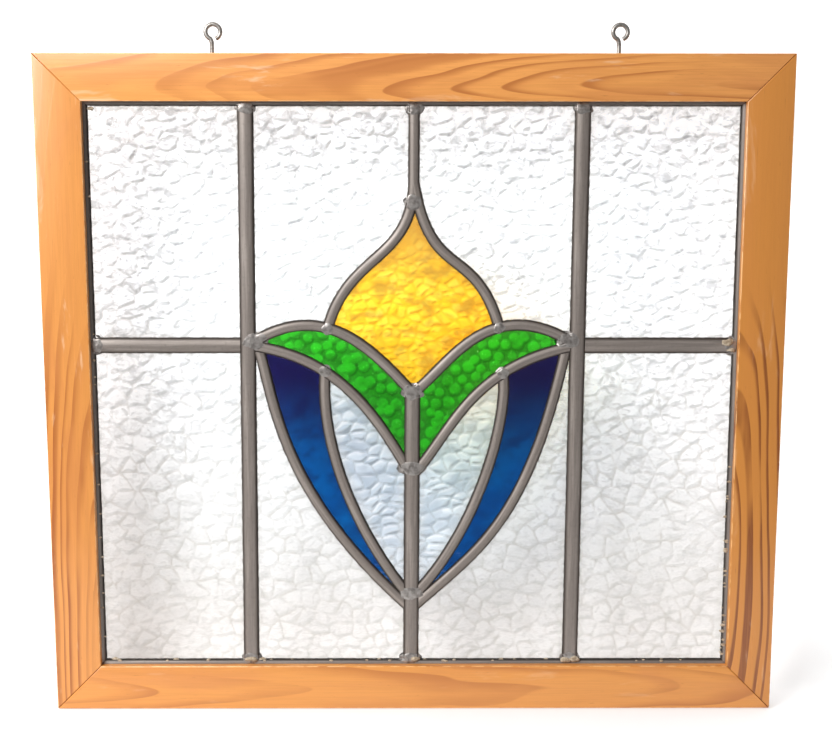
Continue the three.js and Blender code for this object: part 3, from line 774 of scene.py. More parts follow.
def trim(bm, line, shares, keep, reach):
    """Cuts a came back from the side of the lead it meets, on the side that keep lies on."""
    for share in shares:
        point = on_bow(line, share)
        heading = (on_bow(line, min(share + 0.01, 1.0)) - on_bow(line, max(share - 0.01, 0.0))).normalized()
        normal = Vector((-heading.z, 0, heading.x))
        if normal.dot(keep - point) > 0:
            normal.negate()
        cut(bm, point - normal * reach, normal)


def dress(bm, wobble, seed):
    """Strays and dents of a lead dressed by hand."""
    for vert in bm.verts:
        place = vert.co * 22 + Vector((seed, seed, 0))
        stray = noise.noise_vector(place) * wobble
        dent = noise.noise(vert.co * 160 + Vector((0, seed, 0))) * wobble * 0.45
        outward = 1 if vert.co.y > 0 else -1
        bulk = abs(vert.co.y) > CHANNEL_HALF + FLANGE_EDGE * 0.5
        vert.co += Vector((stray.x, 0, stray.z))
        if bulk:
            vert.co.y += outward * min(0.0, dent)


CENTRE_LINE = (LEAVES_MEET, on_panel(0, BORDER_FOOT_UP))
SLIM_REACH = SLIM_WIDTH / 2 + 0.0002
BROAD_REACH = BROAD_WIDTH / 2 + 0.0002
MIDDLE = on_panel(0, 0)


def joints_of(name):
    """What a came is cut back from: a line, shares of it, the side kept, and the reach."""
    hand_left = name.endswith("left")
    side = upright(-UPRIGHT_OFFSET if hand_left else UPRIGHT_OFFSET)
    leaf_top = LEAF_TOP_LEFT if hand_left else LEAF_TOP_RIGHT
    leaf_under = LEAF_UNDER_LEFT if hand_left else LEAF_UNDER_RIGHT
    outer = PETAL_OUTER_LEFT if hand_left else PETAL_OUTER_RIGHT
    beyond = MIDDLE + Vector((-1 if hand_left else 1, 0, 0))
    mirror = (on_panel(0, BORDER_TOP_UP), on_panel(0, BORDER_FOOT_UP))
    near = on_bow(leaf_top, 0.5)
    if name.startswith("came_crossbar"):
        return [(side, [0.5], beyond, BROAD_REACH)]
    if name.startswith("came_leaf_top"):
        return [(side, [0.5], MIDDLE, BROAD_REACH), (mirror, [0.5], near, 0.0)]
    if name == "came_stem_and_bud_left":
        return [(LEAF_TOP_LEFT, [BUD_SHARES["left"]], FORK, SLIM_REACH)]
    if name == "came_bud_right":
        return [(LEAF_TOP_RIGHT, [BUD_SHARES["right"]], FORK, SLIM_REACH), (mirror, [0.5], beyond, -0.001)]
    if name.startswith("came_leaf_under"):
        return [(side, [0.5], MIDDLE, BROAD_REACH), (CENTRE_LINE, [0.5], beyond, BROAD_REACH)]
    if name.startswith("came_petal_outer"):
        return [(leaf_under, [OUTER_PETAL_TRIM], SHIELD_FOOT, SLIM_REACH),
                (CENTRE_LINE, [0.5], beyond, BROAD_REACH)]
    if name.startswith("came_petal_inner"):
        share = PETAL_SHARES["left" if hand_left else "right"]
        return [(leaf_under, [share], SHIELD_FOOT, SLIM_REACH),
                (CENTRE_LINE, [0.5], beyond, BROAD_REACH),
                (outer, [0.8, 0.85, 0.9, 0.95, 0.99], LEAF_FOOT, SLIM_REACH)]
    return []


def inside_border(bm):
    """Cuts a came off where it meets the border."""
    reach = BORDER_WIDTH / 2 + 0.0002
    cut(bm, (0, 0, BORDER_TOP_Z - reach), (0, 0, 1))
    cut(bm, (0, 0, BORDER_FOOT_Z + reach), (0, 0, -1))
    cut(bm, (CENTRE_X - BORDER_HALF_WIDTH + reach, 0, 0), (-1, 0, 0))
    cut(bm, (CENTRE_X + BORDER_HALF_WIDTH - reach, 0, 0), (1, 0, 0))


BORDER_CORNERS = [Vector((CENTRE_X + across * BORDER_HALF_WIDTH, 0, z)) for across, z in
                  ((-1, BORDER_TOP_Z), (1, BORDER_TOP_Z), (1, BORDER_FOOT_Z), (-1, BORDER_FOOT_Z))]
BORDERS = {name: (BORDER_CORNERS[i], BORDER_CORNERS[(i + 1) % 4]) for i, name in enumerate(
    ("came_border_top", "came_border_right", "came_border_bottom", "came_border_left"))}


def lead_lines():
    """The middle line, the width and the crown of every lead."""
    for strip in STRIPS.values():
        line, _ = stations(strip["bows"], 0.006)
        yield np.array([place.xz for place, _ in line]), strip["width"], strip["crown"]
    for start, end in BORDERS.values():
        yield np.array([start.xz, end.xz]), BORDER_WIDTH, SLIM_CROWN


def distance_to(line, points):
    """The distance of each point from a broken line."""
    best = np.full(len(points), np.inf)
    for a, b in zip(line[:-1], line[1:]):
        run = b - a
        share = np.clip(((points - a) @ run) / (run @ run), 0.0, 1.0)
        best = np.minimum(best, np.linalg.norm(points - (a + share[:, None] * run), axis=1))
    return best


def from_leads(points):
    """How far each point of a pane lies from the edge of the nearest lead."""
    low, high = points.min(axis=0) - 0.02, points.max(axis=0) + 0.02
    gap = np.full(len(points), 1.0)
    for line, width, _ in lead_lines():
        if (line.max(axis=0) > low).all() and (line.min(axis=0) < high).all():
            gap = np.minimum(gap, distance_to(line, points) - width / 2)
    return gap


class STAINED_OT_cames(bpy.types.Operator):
    """Builds the lead cames of the border and the pattern"""

    bl_idname = "stained.cames"
    bl_label = "Lead cames"

    def execute(self, context):
        noise.seed_set(NOISE_SEED)
        settings = context.scene.stained_glass
        material = lead_material()
        for number, (name, strip) in enumerate(STRIPS.items()):
            bm = bmesh.new()
            section = came_section(strip["width"], strip["crown"])
            sweep(bm, section, strip["bows"], STATION, strip["width"] / 2)
            for line, shares, keep, reach in joints_of(name):
                trim(bm, line, shares, keep, reach)
            inside_border(bm)
            dress(bm, settings.lead_wobble, number * 3.7)
            sharpen(finish_piece(name, bm, material, (name,)), 40)
        for number, (name, (start, end)) in enumerate(BORDERS.items()):
            bm = bmesh.new()
            past = (end - start).normalized() * BORDER_WIDTH
            section = came_section(BORDER_WIDTH, SLIM_CROWN)
            sweep(bm, section, [(start - past, end + past)], BORDER_STATION, BORDER_WIDTH / 2)
            heading = past.normalized()
            inward = Vector((heading.z, 0, -heading.x))
            cut(bm, start + heading * 0.0002, -heading + inward)
            cut(bm, end - heading * 0.0002, heading + inward)
            dress(bm, settings.lead_wobble * 0.6, 70 + number * 2.3)
            sharpen(finish_piece(name, bm, material, (name,)), 40)
        return {"FINISHED"}


def cement_section(width):
    """Cement that fills the channel at one edge of a flange and stands a little out of it."""
    edge = width / 2
    low = GLASS_HALF - 0.0007
    return [
        (edge - 0.0012, low),
        (edge + 0.0005, low),
        (edge + 0.0003, GLASS_HALF + 0.0001),
        (edge + 0.0001, CHANNEL_HALF + 0.0003),
        (edge - 0.0012, CHANNEL_HALF + 0.0001),
    ]


class STAINED_OT_cement(bpy.types.Operator):
    """Runs glazing cement along both edges of every came, front and back"""

    bl_idname = "stained.cement"
    bl_label = "Glazing cement"

    def execute(self, context):
        noise.seed_set(NOISE_SEED)
        cement = bmesh.new()
        lines = [(strip["bows"], strip["width"]) for strip in STRIPS.values()]
        lines += [([line], BORDER_WIDTH) for line in BORDERS.values()]
        for bows, width in lines:
            for hand, face in ((-1, -1), (-1, 1), (1, -1), (1, 1)):
                section = [(hand * across, face * depth) for across, depth in cement_section(width)]
                run = bmesh.new()
                sweep(run, section, bows, STATION)
                inside_border(run)
                join(cement, run)
        for vert in cement.verts:
            vert.co += noise.noise_vector(vert.co * 210) * 0.00028
        material = plaster_material("Glazing cement", (0.055, 0.040, 0.030), (0.014, 0.011, 0.009), 700)
        finish_piece("glazing_cement", cement, material)
        return {"FINISHED"}


# Glass

# Where the light painted on the glass relief comes from: the upper left.
LIT_FROM = Vector((-0.45, 0, 0.89))


def pane_outline(name):
    """The outline of a pane's front face, in order, as across and up."""
    bm = bmesh.new()
    bm.from_mesh(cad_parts[name].data)
    bmesh.ops.remove_doubles(bm, verts=bm.verts[:], dist=2e-6)
    front = {face for face in bm.faces if face.normal.y < -0.9}
    rim = [edge for edge in bm.edges if sum(face in front for face in edge.link_faces) == 1]
    nexts = {}
    for edge in rim:
        for vert in edge.verts:
            nexts.setdefault(vert, []).append(edge.other_vert(vert))
    start = rim[0].verts[0]
    outline, last, here = [start], None, start
    while True:
        following = [vert for vert in nexts[here] if vert is not last][0]
        if following is start:
            break
        outline.append(following)
        last, here = here, following
    points = np.array([(vert.co.x, vert.co.z) for vert in outline])
    bm.free()
    return points


def inside_outline(points, outline):
    """Whether each point lies inside an outline."""
    inside = np.zeros(len(points), bool)
    for (ax, az), (bx, bz) in zip(outline, np.roll(outline, -1, axis=0)):
        if az == bz:
            continue
        spans = (az > points[:, 1]) != (bz > points[:, 1])
        inside ^= spans & (points[:, 0] < (bx - ax) * (points[:, 1] - az) / (bz - az) + ax)
    return inside


def nearest_on_outline(points, outline):
    """For each point, the nearest point of an outline and its distance."""
    best = np.full(len(points), np.inf)
    nearest = np.zeros_like(points)
    for a, b in zip(outline, np.roll(outline, -1, axis=0)):
        run = b - a
        share = np.clip(((points - a) @ run) / max(run @ run, 1e-18), 0.0, 1.0)
        foot = a + share[:, None] * run
        distance = np.linalg.norm(points - foot, axis=1)
        closer = distance < best
        best[closer] = distance[closer]
        nearest[closer] = foot[closer]
    return nearest, best


def cells(points, pitch, squash, stray, seed):
    """Uneven rows of cells: the distances to the two nearest centres in pitches, and the cell's tone."""
    random = np.random.default_rng(seed)
    strays = random.uniform(-stray, stray, (64, 64, 2))
    tones = random.uniform(0.0, 1.0, (64, 64))
    across, up = points[:, 0] / pitch, points[:, 1] / (pitch * squash)
    row = np.round(up / 0.87)
    first = np.full(len(points), 9.0)
    second = np.full(len(points), 9.0)
    tone = np.zeros(len(points))
    for above in (-1, 0, 1):
        here = row + above
        offset = 0.5 * (here % 2)
        column = np.round(across - offset)
        for beside in (-1, 0, 1):
            key = ((column + beside).astype(int) % 64, here.astype(int) % 64)
            x = column + beside + offset + strays[key][:, 0]
            away = np.hypot(across - x, up - (here * 0.87 + strays[key][:, 1]))
            nearer = away < first
            second = np.where(nearer, first, np.minimum(second, away))
            tone = np.where(nearer, tones[key], tone)
            first = np.where(nearer, away, first)
    return first, second, tone


def waves(points, across, up, seed):
    """Smooth noise over the face of a pane, finer across than up or the other way round."""
    return np.array([noise.noise(Vector((x * across, seed, z * up))) for x, z in points])


def bent(points, scale, reach, seed):
    """The same points, strayed a little so that no row stays straight."""
    strays = [waves(points, scale, scale, seed), waves(points, scale, scale, seed + 40)]
    return points + reach * np.stack(strays, 1)


def hammered(points, settings):
    """Hammered glass: flat-topped cells with narrow creases, and fine ripples across them."""
    near, next_near, tone = cells(bent(points, 60, 0.0045, 4.2), settings.hammered_cell, 0.86, 0.38, 3)
    gap = next_near - near
    depth = np.clip(0.72 + 0.9 * waves(points, 55, 75, 12.6), 0.25, 1.0)
    crease = np.clip(1.0 - gap / (0.08 + 0.09 * depth), 0.0, 1.0) * depth
    plateau = np.clip(gap / 0.36, 0.0, 1.0) ** 0.8
    ripple = waves(points, 170, 360, 3.1) * (1 - crease)
    dome = 1.0 - (near / next_near) ** 2
    height = 0.45 * plateau + 0.22 * dome + 0.18 * ripple + 0.22 * waves(points, 75, 110, 8.8)
    # The crease value darkens the glass in its material: painted shade in the creases.
    return height, crease ** 1.2, tone


def lensed(points, settings):
    """The glass beside the stalk: smoother cells, whose bright tops are painted highlights."""
    pitch = settings.hammered_cell * 0.86
    near, next_near, tone = cells(bent(points, 45, 0.005, 6.6), pitch, 0.72, 0.40, 8)
    crease = np.clip(1.0 - (next_near - near) / 0.13, 0.0, 1.0)
    height = (1.0 - (near / next_near) ** 2) * 0.55 + waves(points, 70, 110, 1.7) * 0.35
    return height, crease, tone


def pebbled(points, settings):
    """Amber glass: soft lenses, each with a painted highlight in its middle that differs in brightness from
    lens to lens.
    """
    pitch = settings.hammered_cell * 0.64
    near, next_near, tone = cells(bent(points, 70, 0.004, 9.7), pitch, 0.70, 0.42, 5)
    dome = 1.0 - (near / next_near) ** 2
    # The crease value is painted shade between the lenses; the last value, brightest in each lens's middle,
    # is a painted highlight.
    crease = np.clip(1.0 - (next_near - near) / 0.25, 0.0, 1.0)
    return dome * 0.6 + waves(points, 110, 150, 2.2) * 0.3, crease, tone * np.clip(dome * 1.6, 0.0, 1.0)


def dimpled(points, settings):
    """Green glass: round dimples in uneven rows, each with a painted highlight on its cap and a painted
    ring of shade around it.
    """
    near, _, tone = cells(points, settings.hammered_cell * 0.68, 1.0, 0.24, 11)
    radius = 0.40 + 0.13 * tone
    away = near / radius
    cap = np.clip(1.0 - away ** 2, 0.0, 1.0)
    ring = np.clip(1.0 - np.abs(away - 1.08) / 0.22, 0.0, 1.0)
    size = radius / 0.53
    height = cap ** 0.6 * 0.9 * size + 0.18 * waves(points, 130, 130, 6.1)
    # The ring around each dimple is painted shade, and the bright cap is a painted highlight.
    return height, ring * 0.8, np.clip(cap * 2.2, 0.0, 1.0) * size


def rippled(points, settings):
    """Blue glass: nearly smooth."""
    height = 0.4 + 0.18 * waves(points, 70, 70, 1.2) + 0.09 * waves(points, 190, 190, 5.5)
    return height, np.zeros(len(points)), 0.5 + 0.5 * waves(points, 45, 45, 7.3)


def pane(name, relief, settings):
    """A pane with its relief on the front and a flat back, under the edges of the leads."""
    outline = pane_outline(name)
    low, high = outline.min(axis=0), outline.max(axis=0)
    size = high - low
    counts = np.maximum(2, np.ceil(size / settings.glass_step)).astype(int)
    bm = bmesh.new()
    middle = (low + high) / 2
    place = Matrix.Translation((middle[0], -GLASS_HALF, middle[1])) @ Matrix.Rotation(math.pi / 2, 4, "X")
    place = place @ Matrix.Diagonal((size[0] / 2, size[1] / 2, 1.0, 1.0))
    bmesh.ops.create_grid(bm, x_segments=int(counts[0]), y_segments=int(counts[1]), size=1.0, matrix=place)
    faces = bm.faces[:]
    centres = np.array([face.calc_center_median().xz for face in faces])
    keep = inside_outline(centres, outline)
    outside = [face for face, kept in zip(faces, keep) if not kept]
    bmesh.ops.delete(bm, geom=outside, context="FACES")
    rim = [vert for vert in bm.verts if vert.is_boundary]
    snapped, _ = nearest_on_outline(np.array([vert.co.xz for vert in rim]), outline)
    for vert, (x, z) in zip(rim, snapped):
        vert.co.x, vert.co.z = x, z
    bmesh.ops.remove_doubles(bm, verts=rim, dist=settings.glass_step * 0.2)
    bmesh.ops.dissolve_degenerate(bm, edges=bm.edges[:], dist=1e-5)
    shape = bm.verts.layers.float_vector.new("relief")
    from_lead = bm.verts.layers.float.new("from_lead")
    points = np.array([vert.co.xz for vert in bm.verts])
    _, distances = nearest_on_outline(points, outline)
    settle = np.minimum(1.0, distances / 0.003)
    values = zip(bm.verts, settle, from_leads(points), *relief(points, settings))
    for vert, settled, gap, height, crease, tone in values:
        vert[shape] = (crease, tone, 0.5)
        vert[from_lead] = gap
        vert.co.y += min(1.0, max(0.0, 1.0 - height * settled)) * settings.relief
    # The relief's third value is painted light: how far each point of the front faces LIT_FROM, spread
    # around 0.5.
    bm.normal_update()
    painted_light_values = np.array([vert.normal.dot(LIT_FROM) if vert.normal.y < 0 else -vert.normal.dot(LIT_FROM)
                       for vert in bm.verts])
    for vert, painted_light in zip(bm.verts, painted_light_values / max(painted_light_values.std(), 1e-9)):
        vert[shape][2] = 0.5 + 0.22 * painted_light
    front = bm.faces[:]
    rim_edges = [edge for edge in bm.edges if edge.is_boundary]
    made = bmesh.ops.extrude_edge_only(bm, edges=rim_edges)["geom"]
    back = [item for item in made if isinstance(item, bmesh.types.BMVert)]
    for vert in back:
        vert.co.y = GLASS_HALF
        vert[shape] = (0.0, 0.0, 0.5)
        vert[from_lead] = 1.0
    back_edges = [item for item in made if isinstance(item, bmesh.types.BMEdge) and item.is_boundary]
    bmesh.ops.contextual_create(bm, geom=back_edges)
    for face in front:
        face.smooth = True
    return bm


PANES = {
    "clear": {"relief": hammered, "slot": "clear_glass", "nodes": [
        f"glass_{word}_{hand}" for word in ("upper_outer", "lower_outer", "above_leaf", "below_shield")
        for hand in ("left", "right")]},
    "stalk": {"relief": lensed, "slot": "clear_glass", "nodes": [
        "glass_beside_stalk_left", "glass_beside_stalk_right"]},
    "green": {"relief": dimpled, "slot": "green_glass", "nodes": ["glass_leaf_left", "glass_leaf_right"]},
    "blue": {"relief": rippled, "slot": "blue_glass", "nodes": ["glass_petal_left", "glass_petal_right"]},
    "amber": {"relief": pebbled, "slot": "amber_glass", "nodes": ["glass_bud"]},
}


def glass_finishes(settings):
    """The five kinds of glass."""
    # Shade painted near the leads (colour, strength, reach), a rim of cement residue at their edges, and
    # painted shade towards the foot.
    shade_and_cement = {"reach": 0.009, "strength": 0.5, "colour": (0.42, 0.41, 0.38), "rim": (0.06, 0.038, 0.024),
            "dust": 0.0, "dust_colour": (0.44, 0.42, 0.38)}
    # On clear glass the grey patches, the dark creases and the lit and shaded values are painted light, the
    # pattern that refraction draws.
    clear = glass_material(
        "Clear hammered glass",
        tints=(settings.clear_tint, (0.84, 0.86, 0.88), (0.46, 0.475, 0.49)),
        crease={"strength": 0.90, "above": 0.40, "colour": (0.20, 0.185, 0.155)},
        shade_and_cement={**shade_and_cement, "dust": 0.52},
        ripple={"mottle": 105.0, "depth": 0.75, "patch": (0.50, 0.66), "twist": 1.2, "scale": 420.0,
                "height": 0.0004, "lit": 0.9, "light": (0.97, 0.98, 1.0), "shaded": 0.95,
                "shaded_low": 0.62, "dark": (0.24, 0.25, 0.255)})
    # Here too the dark creases, the grey patches and the lit and shaded values are painted light.
    stalk = glass_material(
        "Clear lensed glass",
        tints=((0.74, 0.81, 0.86), (0.48, 0.57, 0.64), (0.40, 0.48, 0.56)),
        crease={"strength": 0.6, "above": 0.6, "colour": (0.20, 0.22, 0.22)},
        shade_and_cement=shade_and_cement,
        ripple={"mottle": 38.0, "depth": 0.9, "patch": (0.45, 0.62), "twist": 0.3, "scale": 300.0,
                "height": 0.0004, "lit": 1.0, "light": (1.0, 1.0, 1.0), "shaded": 0.9,
                "shaded_low": 0.9, "dark": (0.12, 0.14, 0.155)})
    # The bright second tint and the dark creases are painted lens highlights and shade.
    amber = glass_material(
        "Amber glass",
        tints=(settings.amber, (1.0, 0.92, 0.20), (0.48, 0.26, 0.03)),
        crease={"strength": 0.25, "above": 0.25, "colour": (0.55, 0.22, 0.004)},
        shade_and_cement={**shade_and_cement, "strength": 0.5, "colour": (0.46, 0.20, 0.01)},
        ripple={"mottle": 56.0, "depth": 0.85, "patch": (0.45, 0.68), "twist": 0.2, "scale": 300.0,
                "height": 0.0003, "lit": 0.9, "light": (1.0, 0.88, 0.09), "shaded": 0.95,
                "shaded_low": 0.95, "dark": (0.42, 0.20, 0.010)},
        fade={"foot": CROSSBAR_Z + 0.03, "top": CROSSBAR_Z + 0.11, "strength": 0.9,
              "colour": (0.42, 0.23, 0.05)})
    # The bright second tint on the dimple caps and the dark crease colour of their rings are painted
    # highlight and shade.
    green = glass_material(
        "Green glass",
        tints=(settings.green, (0.034, 0.74, 0.020), (0.014, 0.14, 0.008)),
        crease={"strength": 0.8, "above": 0.8, "colour": (0.003, 0.05, 0.003)},
        shade_and_cement={**shade_and_cement, "strength": 0.25, "colour": (0.10, 0.34, 0.09)},
        ripple={"mottle": 60.0, "depth": 0.7, "patch": (0.4, 0.7), "twist": 0.5, "scale": 300.0,
                "height": 0.0003, "lit": 0.75, "light": (0.06, 0.95, 0.05), "shaded": 0.75,
                "shaded_low": 0.75, "dark": (0.004, 0.065, 0.003), "specks": (0.55, 0.90, 0.50)})
    blue = glass_material(
        "Blue glass",
        tints=(settings.blue, (0.002, 0.12, 0.36), (0.003, 0.018, 0.11)),
        crease={"strength": 0.0, "above": 0.0, "colour": (0.01, 0.03, 0.2)},
        shade_and_cement={**shade_and_cement, "strength": 0.15, "colour": (0.02, 0.03, 0.13)},
        ripple={"mottle": 44.0, "depth": 1.0, "patch": (0.4, 0.7), "twist": 0.5, "scale": 140.0,
                "height": 0.0003, "lit": 0.7, "light": (0.003, 0.19, 0.48), "shaded": 0.7,
                "shaded_low": 0.7, "dark": (0.001, 0.014, 0.09)},
        fade={"foot": CROSSBAR_Z - 0.115, "top": CROSSBAR_Z - 0.02, "strength": 1.0,
              "colour": (0.008, 0.006, 0.055)})
    return {"clear": clear, "stalk": stalk, "amber": amber, "green": green, "blue": blue}


class STAINED_OT_panes(bpy.types.Operator):
    """Builds the panes of glass with their relief"""

    bl_idname = "stained.panes"
    bl_label = "Panes of glass"

    def execute(self, context):
        settings = context.scene.stained_glass
        finishes = glass_finishes(settings)
        for kind, sort in PANES.items():
            for name in sort["nodes"]:
                bm = pane(name, sort["relief"], settings)
                finish_piece(name, bm, finishes[kind], (name,), smooth=False)
        return {"FINISHED"}


# Solder

def lead_surface(points):
    """How far the lead stands over the middle of the panel at points given as across and up."""
    height = np.full(len(points), GLASS_HALF)
    for line, width, crown in lead_lines():
        away = distance_to(line, points)
        top = CHANNEL_HALF + flange_height(away, width, crown)
        height = np.where(away < width / 2, np.maximum(height, top), height)
    return height


def solder_lump(bm, centre, reach, rise, face, seed, crinkle):
    """One lump run over a joint: a soft dome that dies away into the leads under it."""
    made = bmesh.ops.create_icosphere(bm, subdivisions=4, radius=1.0)["verts"]
    flat = np.array([(vert.co.x, vert.co.z) for vert in made])
    out = np.linalg.norm(flat, axis=1)
    places = []
    for (a, b), radius in zip(flat, out):
        ragged = 1.0 + 0.22 * noise.noise(Vector((a * 1.6 + seed, b * 1.6, seed)))
        places.append((centre.x + a * reach[0] * ragged, centre.z + b * reach[1] * ragged))
    lead = lead_surface(np.array(places))
    for vert, (x, z), radius, under in zip(made, places, out, lead):
        outer = vert.co.y <= 0
        swell = noise.noise(Vector((x * 260, seed, z * 260)))
        ripple = noise.noise(Vector((x * 700, seed + 3, z * 700)))
        dome = math.sqrt(max(0.0, 1.0 - radius ** 2))
        top = under - 0.0004 + dome * (rise + 0.0004) * (0.72 + 0.28 * swell) + crinkle * dome * ripple
        depth = top if outer else GLASS_HALF - 0.0001
        vert.co = Vector((x, face * min(depth, CHANNEL_HALF + BROAD_CROWN + rise), z))


class STAINED_OT_solder(bpy.types.Operator):
    """Runs solder over every joint of the leads"""

    bl_idname = "stained.solder"
    bl_label = "Solder"

    def execute(self, context):
        material = solder_material()
        rear = bmesh.new()
        names = sorted(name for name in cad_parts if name.startswith("solder_"))
        for number, name in enumerate(names):
            low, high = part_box(name)
            centre = (low + high) / 2
            reach = ((high.x - low.x) / 2 * 1.1, (high.z - low.z) / 2 * 1.1)
            rough = 0.00022 if "foot" in name or "crossing" in name else 0.00010
            bm = bmesh.new()
            solder_lump(bm, centre, reach, 0.0009, -1, number * 5.3, rough)
            finish_piece(name, bm, material, (name,))
            solder_lump(rear, centre, reach, 0.0007, 1, number * 5.3 + 2, rough * 0.6)
        finish_piece("solder_back", rear, material)
        return {"FINISHED"}


# Screw eyes

EYE_WIRE = 0.0036
EYE_BORE = 0.0082
WIRE_SIDES = 18


def eye_path(shank_x, ring_x):
    """The bent wire of an eye, from the tip of its shank up, round to the left, over and down."""
    low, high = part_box("screw_eye_left")
    radius = (EYE_BORE + EYE_WIRE) / 2
    ring = Vector((ring_x, 0, high.z - EYE_WIRE / 2 - radius))
    neck = ring.z - radius - EYE_WIRE
    points = [Vector((shank_x, 0, low.z)), Vector((shank_x, 0, neck)),
              Vector((shank_x - 0.1 * EYE_WIRE, 0, neck + 0.6 * EYE_WIRE))]
    for i in range(31):
        angle = math.radians(-112 - 316 * i / 30)
        points.append(ring + Vector((math.cos(angle), 0, math.sin(angle))) * radius)
    return points


class STAINED_OT_screw_eyes(bpy.types.Operator):
    """Bends the two screw eyes of round wire"""

    bl_idname = "stained.screw_eyes"
    bl_label = "Screw eyes"

    def execute(self, context):
        material = steel_material()
        for name in ("screw_eye_left", "screw_eye_right"):
            low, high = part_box(name)
            ring_x = (low.x + high.x) / 2
            points = eye_path(ring_x - 0.001, ring_x)
            radius = EYE_WIRE / 2
            turns = [2 * math.pi * i / WIRE_SIDES for i in range(WIRE_SIDES)]
            section = [(radius * math.cos(turn), radius * math.sin(turn)) for turn in turns]
            bm = bmesh.new()
            sweep(bm, section, list(zip(points, points[1:])), 0.0007, radius)
            finish_piece(name, bm, material, (name,))
        return {"FINISHED"}


# Putty

class STAINED_OT_putty(bpy.types.Operator):
    """Leaves crumbs of old putty along the border"""

    bl_idname = "stained.putty"
    bl_label = "Putty crumbs"

    def execute(self, context):
        right = CENTRE_X + BORDER_HALF_WIDTH - BORDER_WIDTH / 2
        left = CENTRE_X - BORDER_HALF_WIDTH + BORDER_WIDTH / 2
        foot = BORDER_FOOT_Z + BORDER_WIDTH / 2
        spots = [
            (right - 0.004, CROSSBAR_Z + 0.003, 0.0042),
            (right - 0.001, CROSSBAR_Z - 0.003, 0.003),
            (left + 0.008, foot + 0.0005, 0.0025),
            (left + 0.060, foot, 0.0022),
            (CENTRE_X - UPRIGHT_OFFSET - LEAN, foot + 0.001, 0.0042),
            (CENTRE_X - UPRIGHT_OFFSET + 0.006, foot, 0.003),
            (CENTRE_X, foot + 0.001, 0.0036),
            (CENTRE_X + 0.075, foot, 0.0018),
            (CENTRE_X + UPRIGHT_OFFSET - 0.006, foot, 0.0038),
            (CENTRE_X + UPRIGHT_OFFSET + 0.001, foot + 0.001, 0.0042),
            (right, BORDER_FOOT_Z + 0.03, 0.0022),
            (right + 0.001, BORDER_FOOT_Z + 0.018, 0.002),
            (left + 0.003, BORDER_TOP_Z - 0.007, 0.0022),
        ]
        random = np.random.default_rng(17)
        for place in random.uniform(0.004, 0.17, 26):
            x = right + random.uniform(-0.0006, 0.0016)
            spots.append((x, foot + place, random.uniform(0.0008, 0.0019)))
        for place in random.uniform(0.0, 0.52, 24):
            z = foot + random.uniform(-0.0012, 0.0004)
            spots.append((left + 0.006 + place, z, random.uniform(0.0008, 0.0016)))
        for place in random.uniform(0.02, 0.44, 16):
            x = left - random.uniform(0.0, 0.0014)
            spots.append((x, foot + place, random.uniform(0.0007, 0.0013)))
        bm = bmesh.new()
        for number, (x, z, size) in enumerate(spots):
            made = bmesh.ops.create_icosphere(bm, subdivisions=2, radius=1.0)["verts"]
            lift = float(lead_surface(np.array([(x, z)]))[0])
            for vert in made:
                lumpy = 1.0 + 0.55 * noise.noise(vert.co * 1.9 + Vector((number * 4.1, 0, 0)))
                spread = vert.co * size * lumpy
                vert.co = Vector((x + 1.25 * spread.x, 0.28 * spread.y - lift, z + 0.7 * spread.z))
        material = plaster_material("Old putty", (0.58, 0.49, 0.37), (0.27, 0.20, 0.13), 420)
        finish_piece("putty_crumbs", bm, material)
        return {"FINISHED"}


# Stage

CAMERA_PLACE = (-0.00626, -1.22921, -0.07329)
CAMERA_DEGREES = (80.23, -0.049, -0.262)
CAMERA_LENS = 64.9


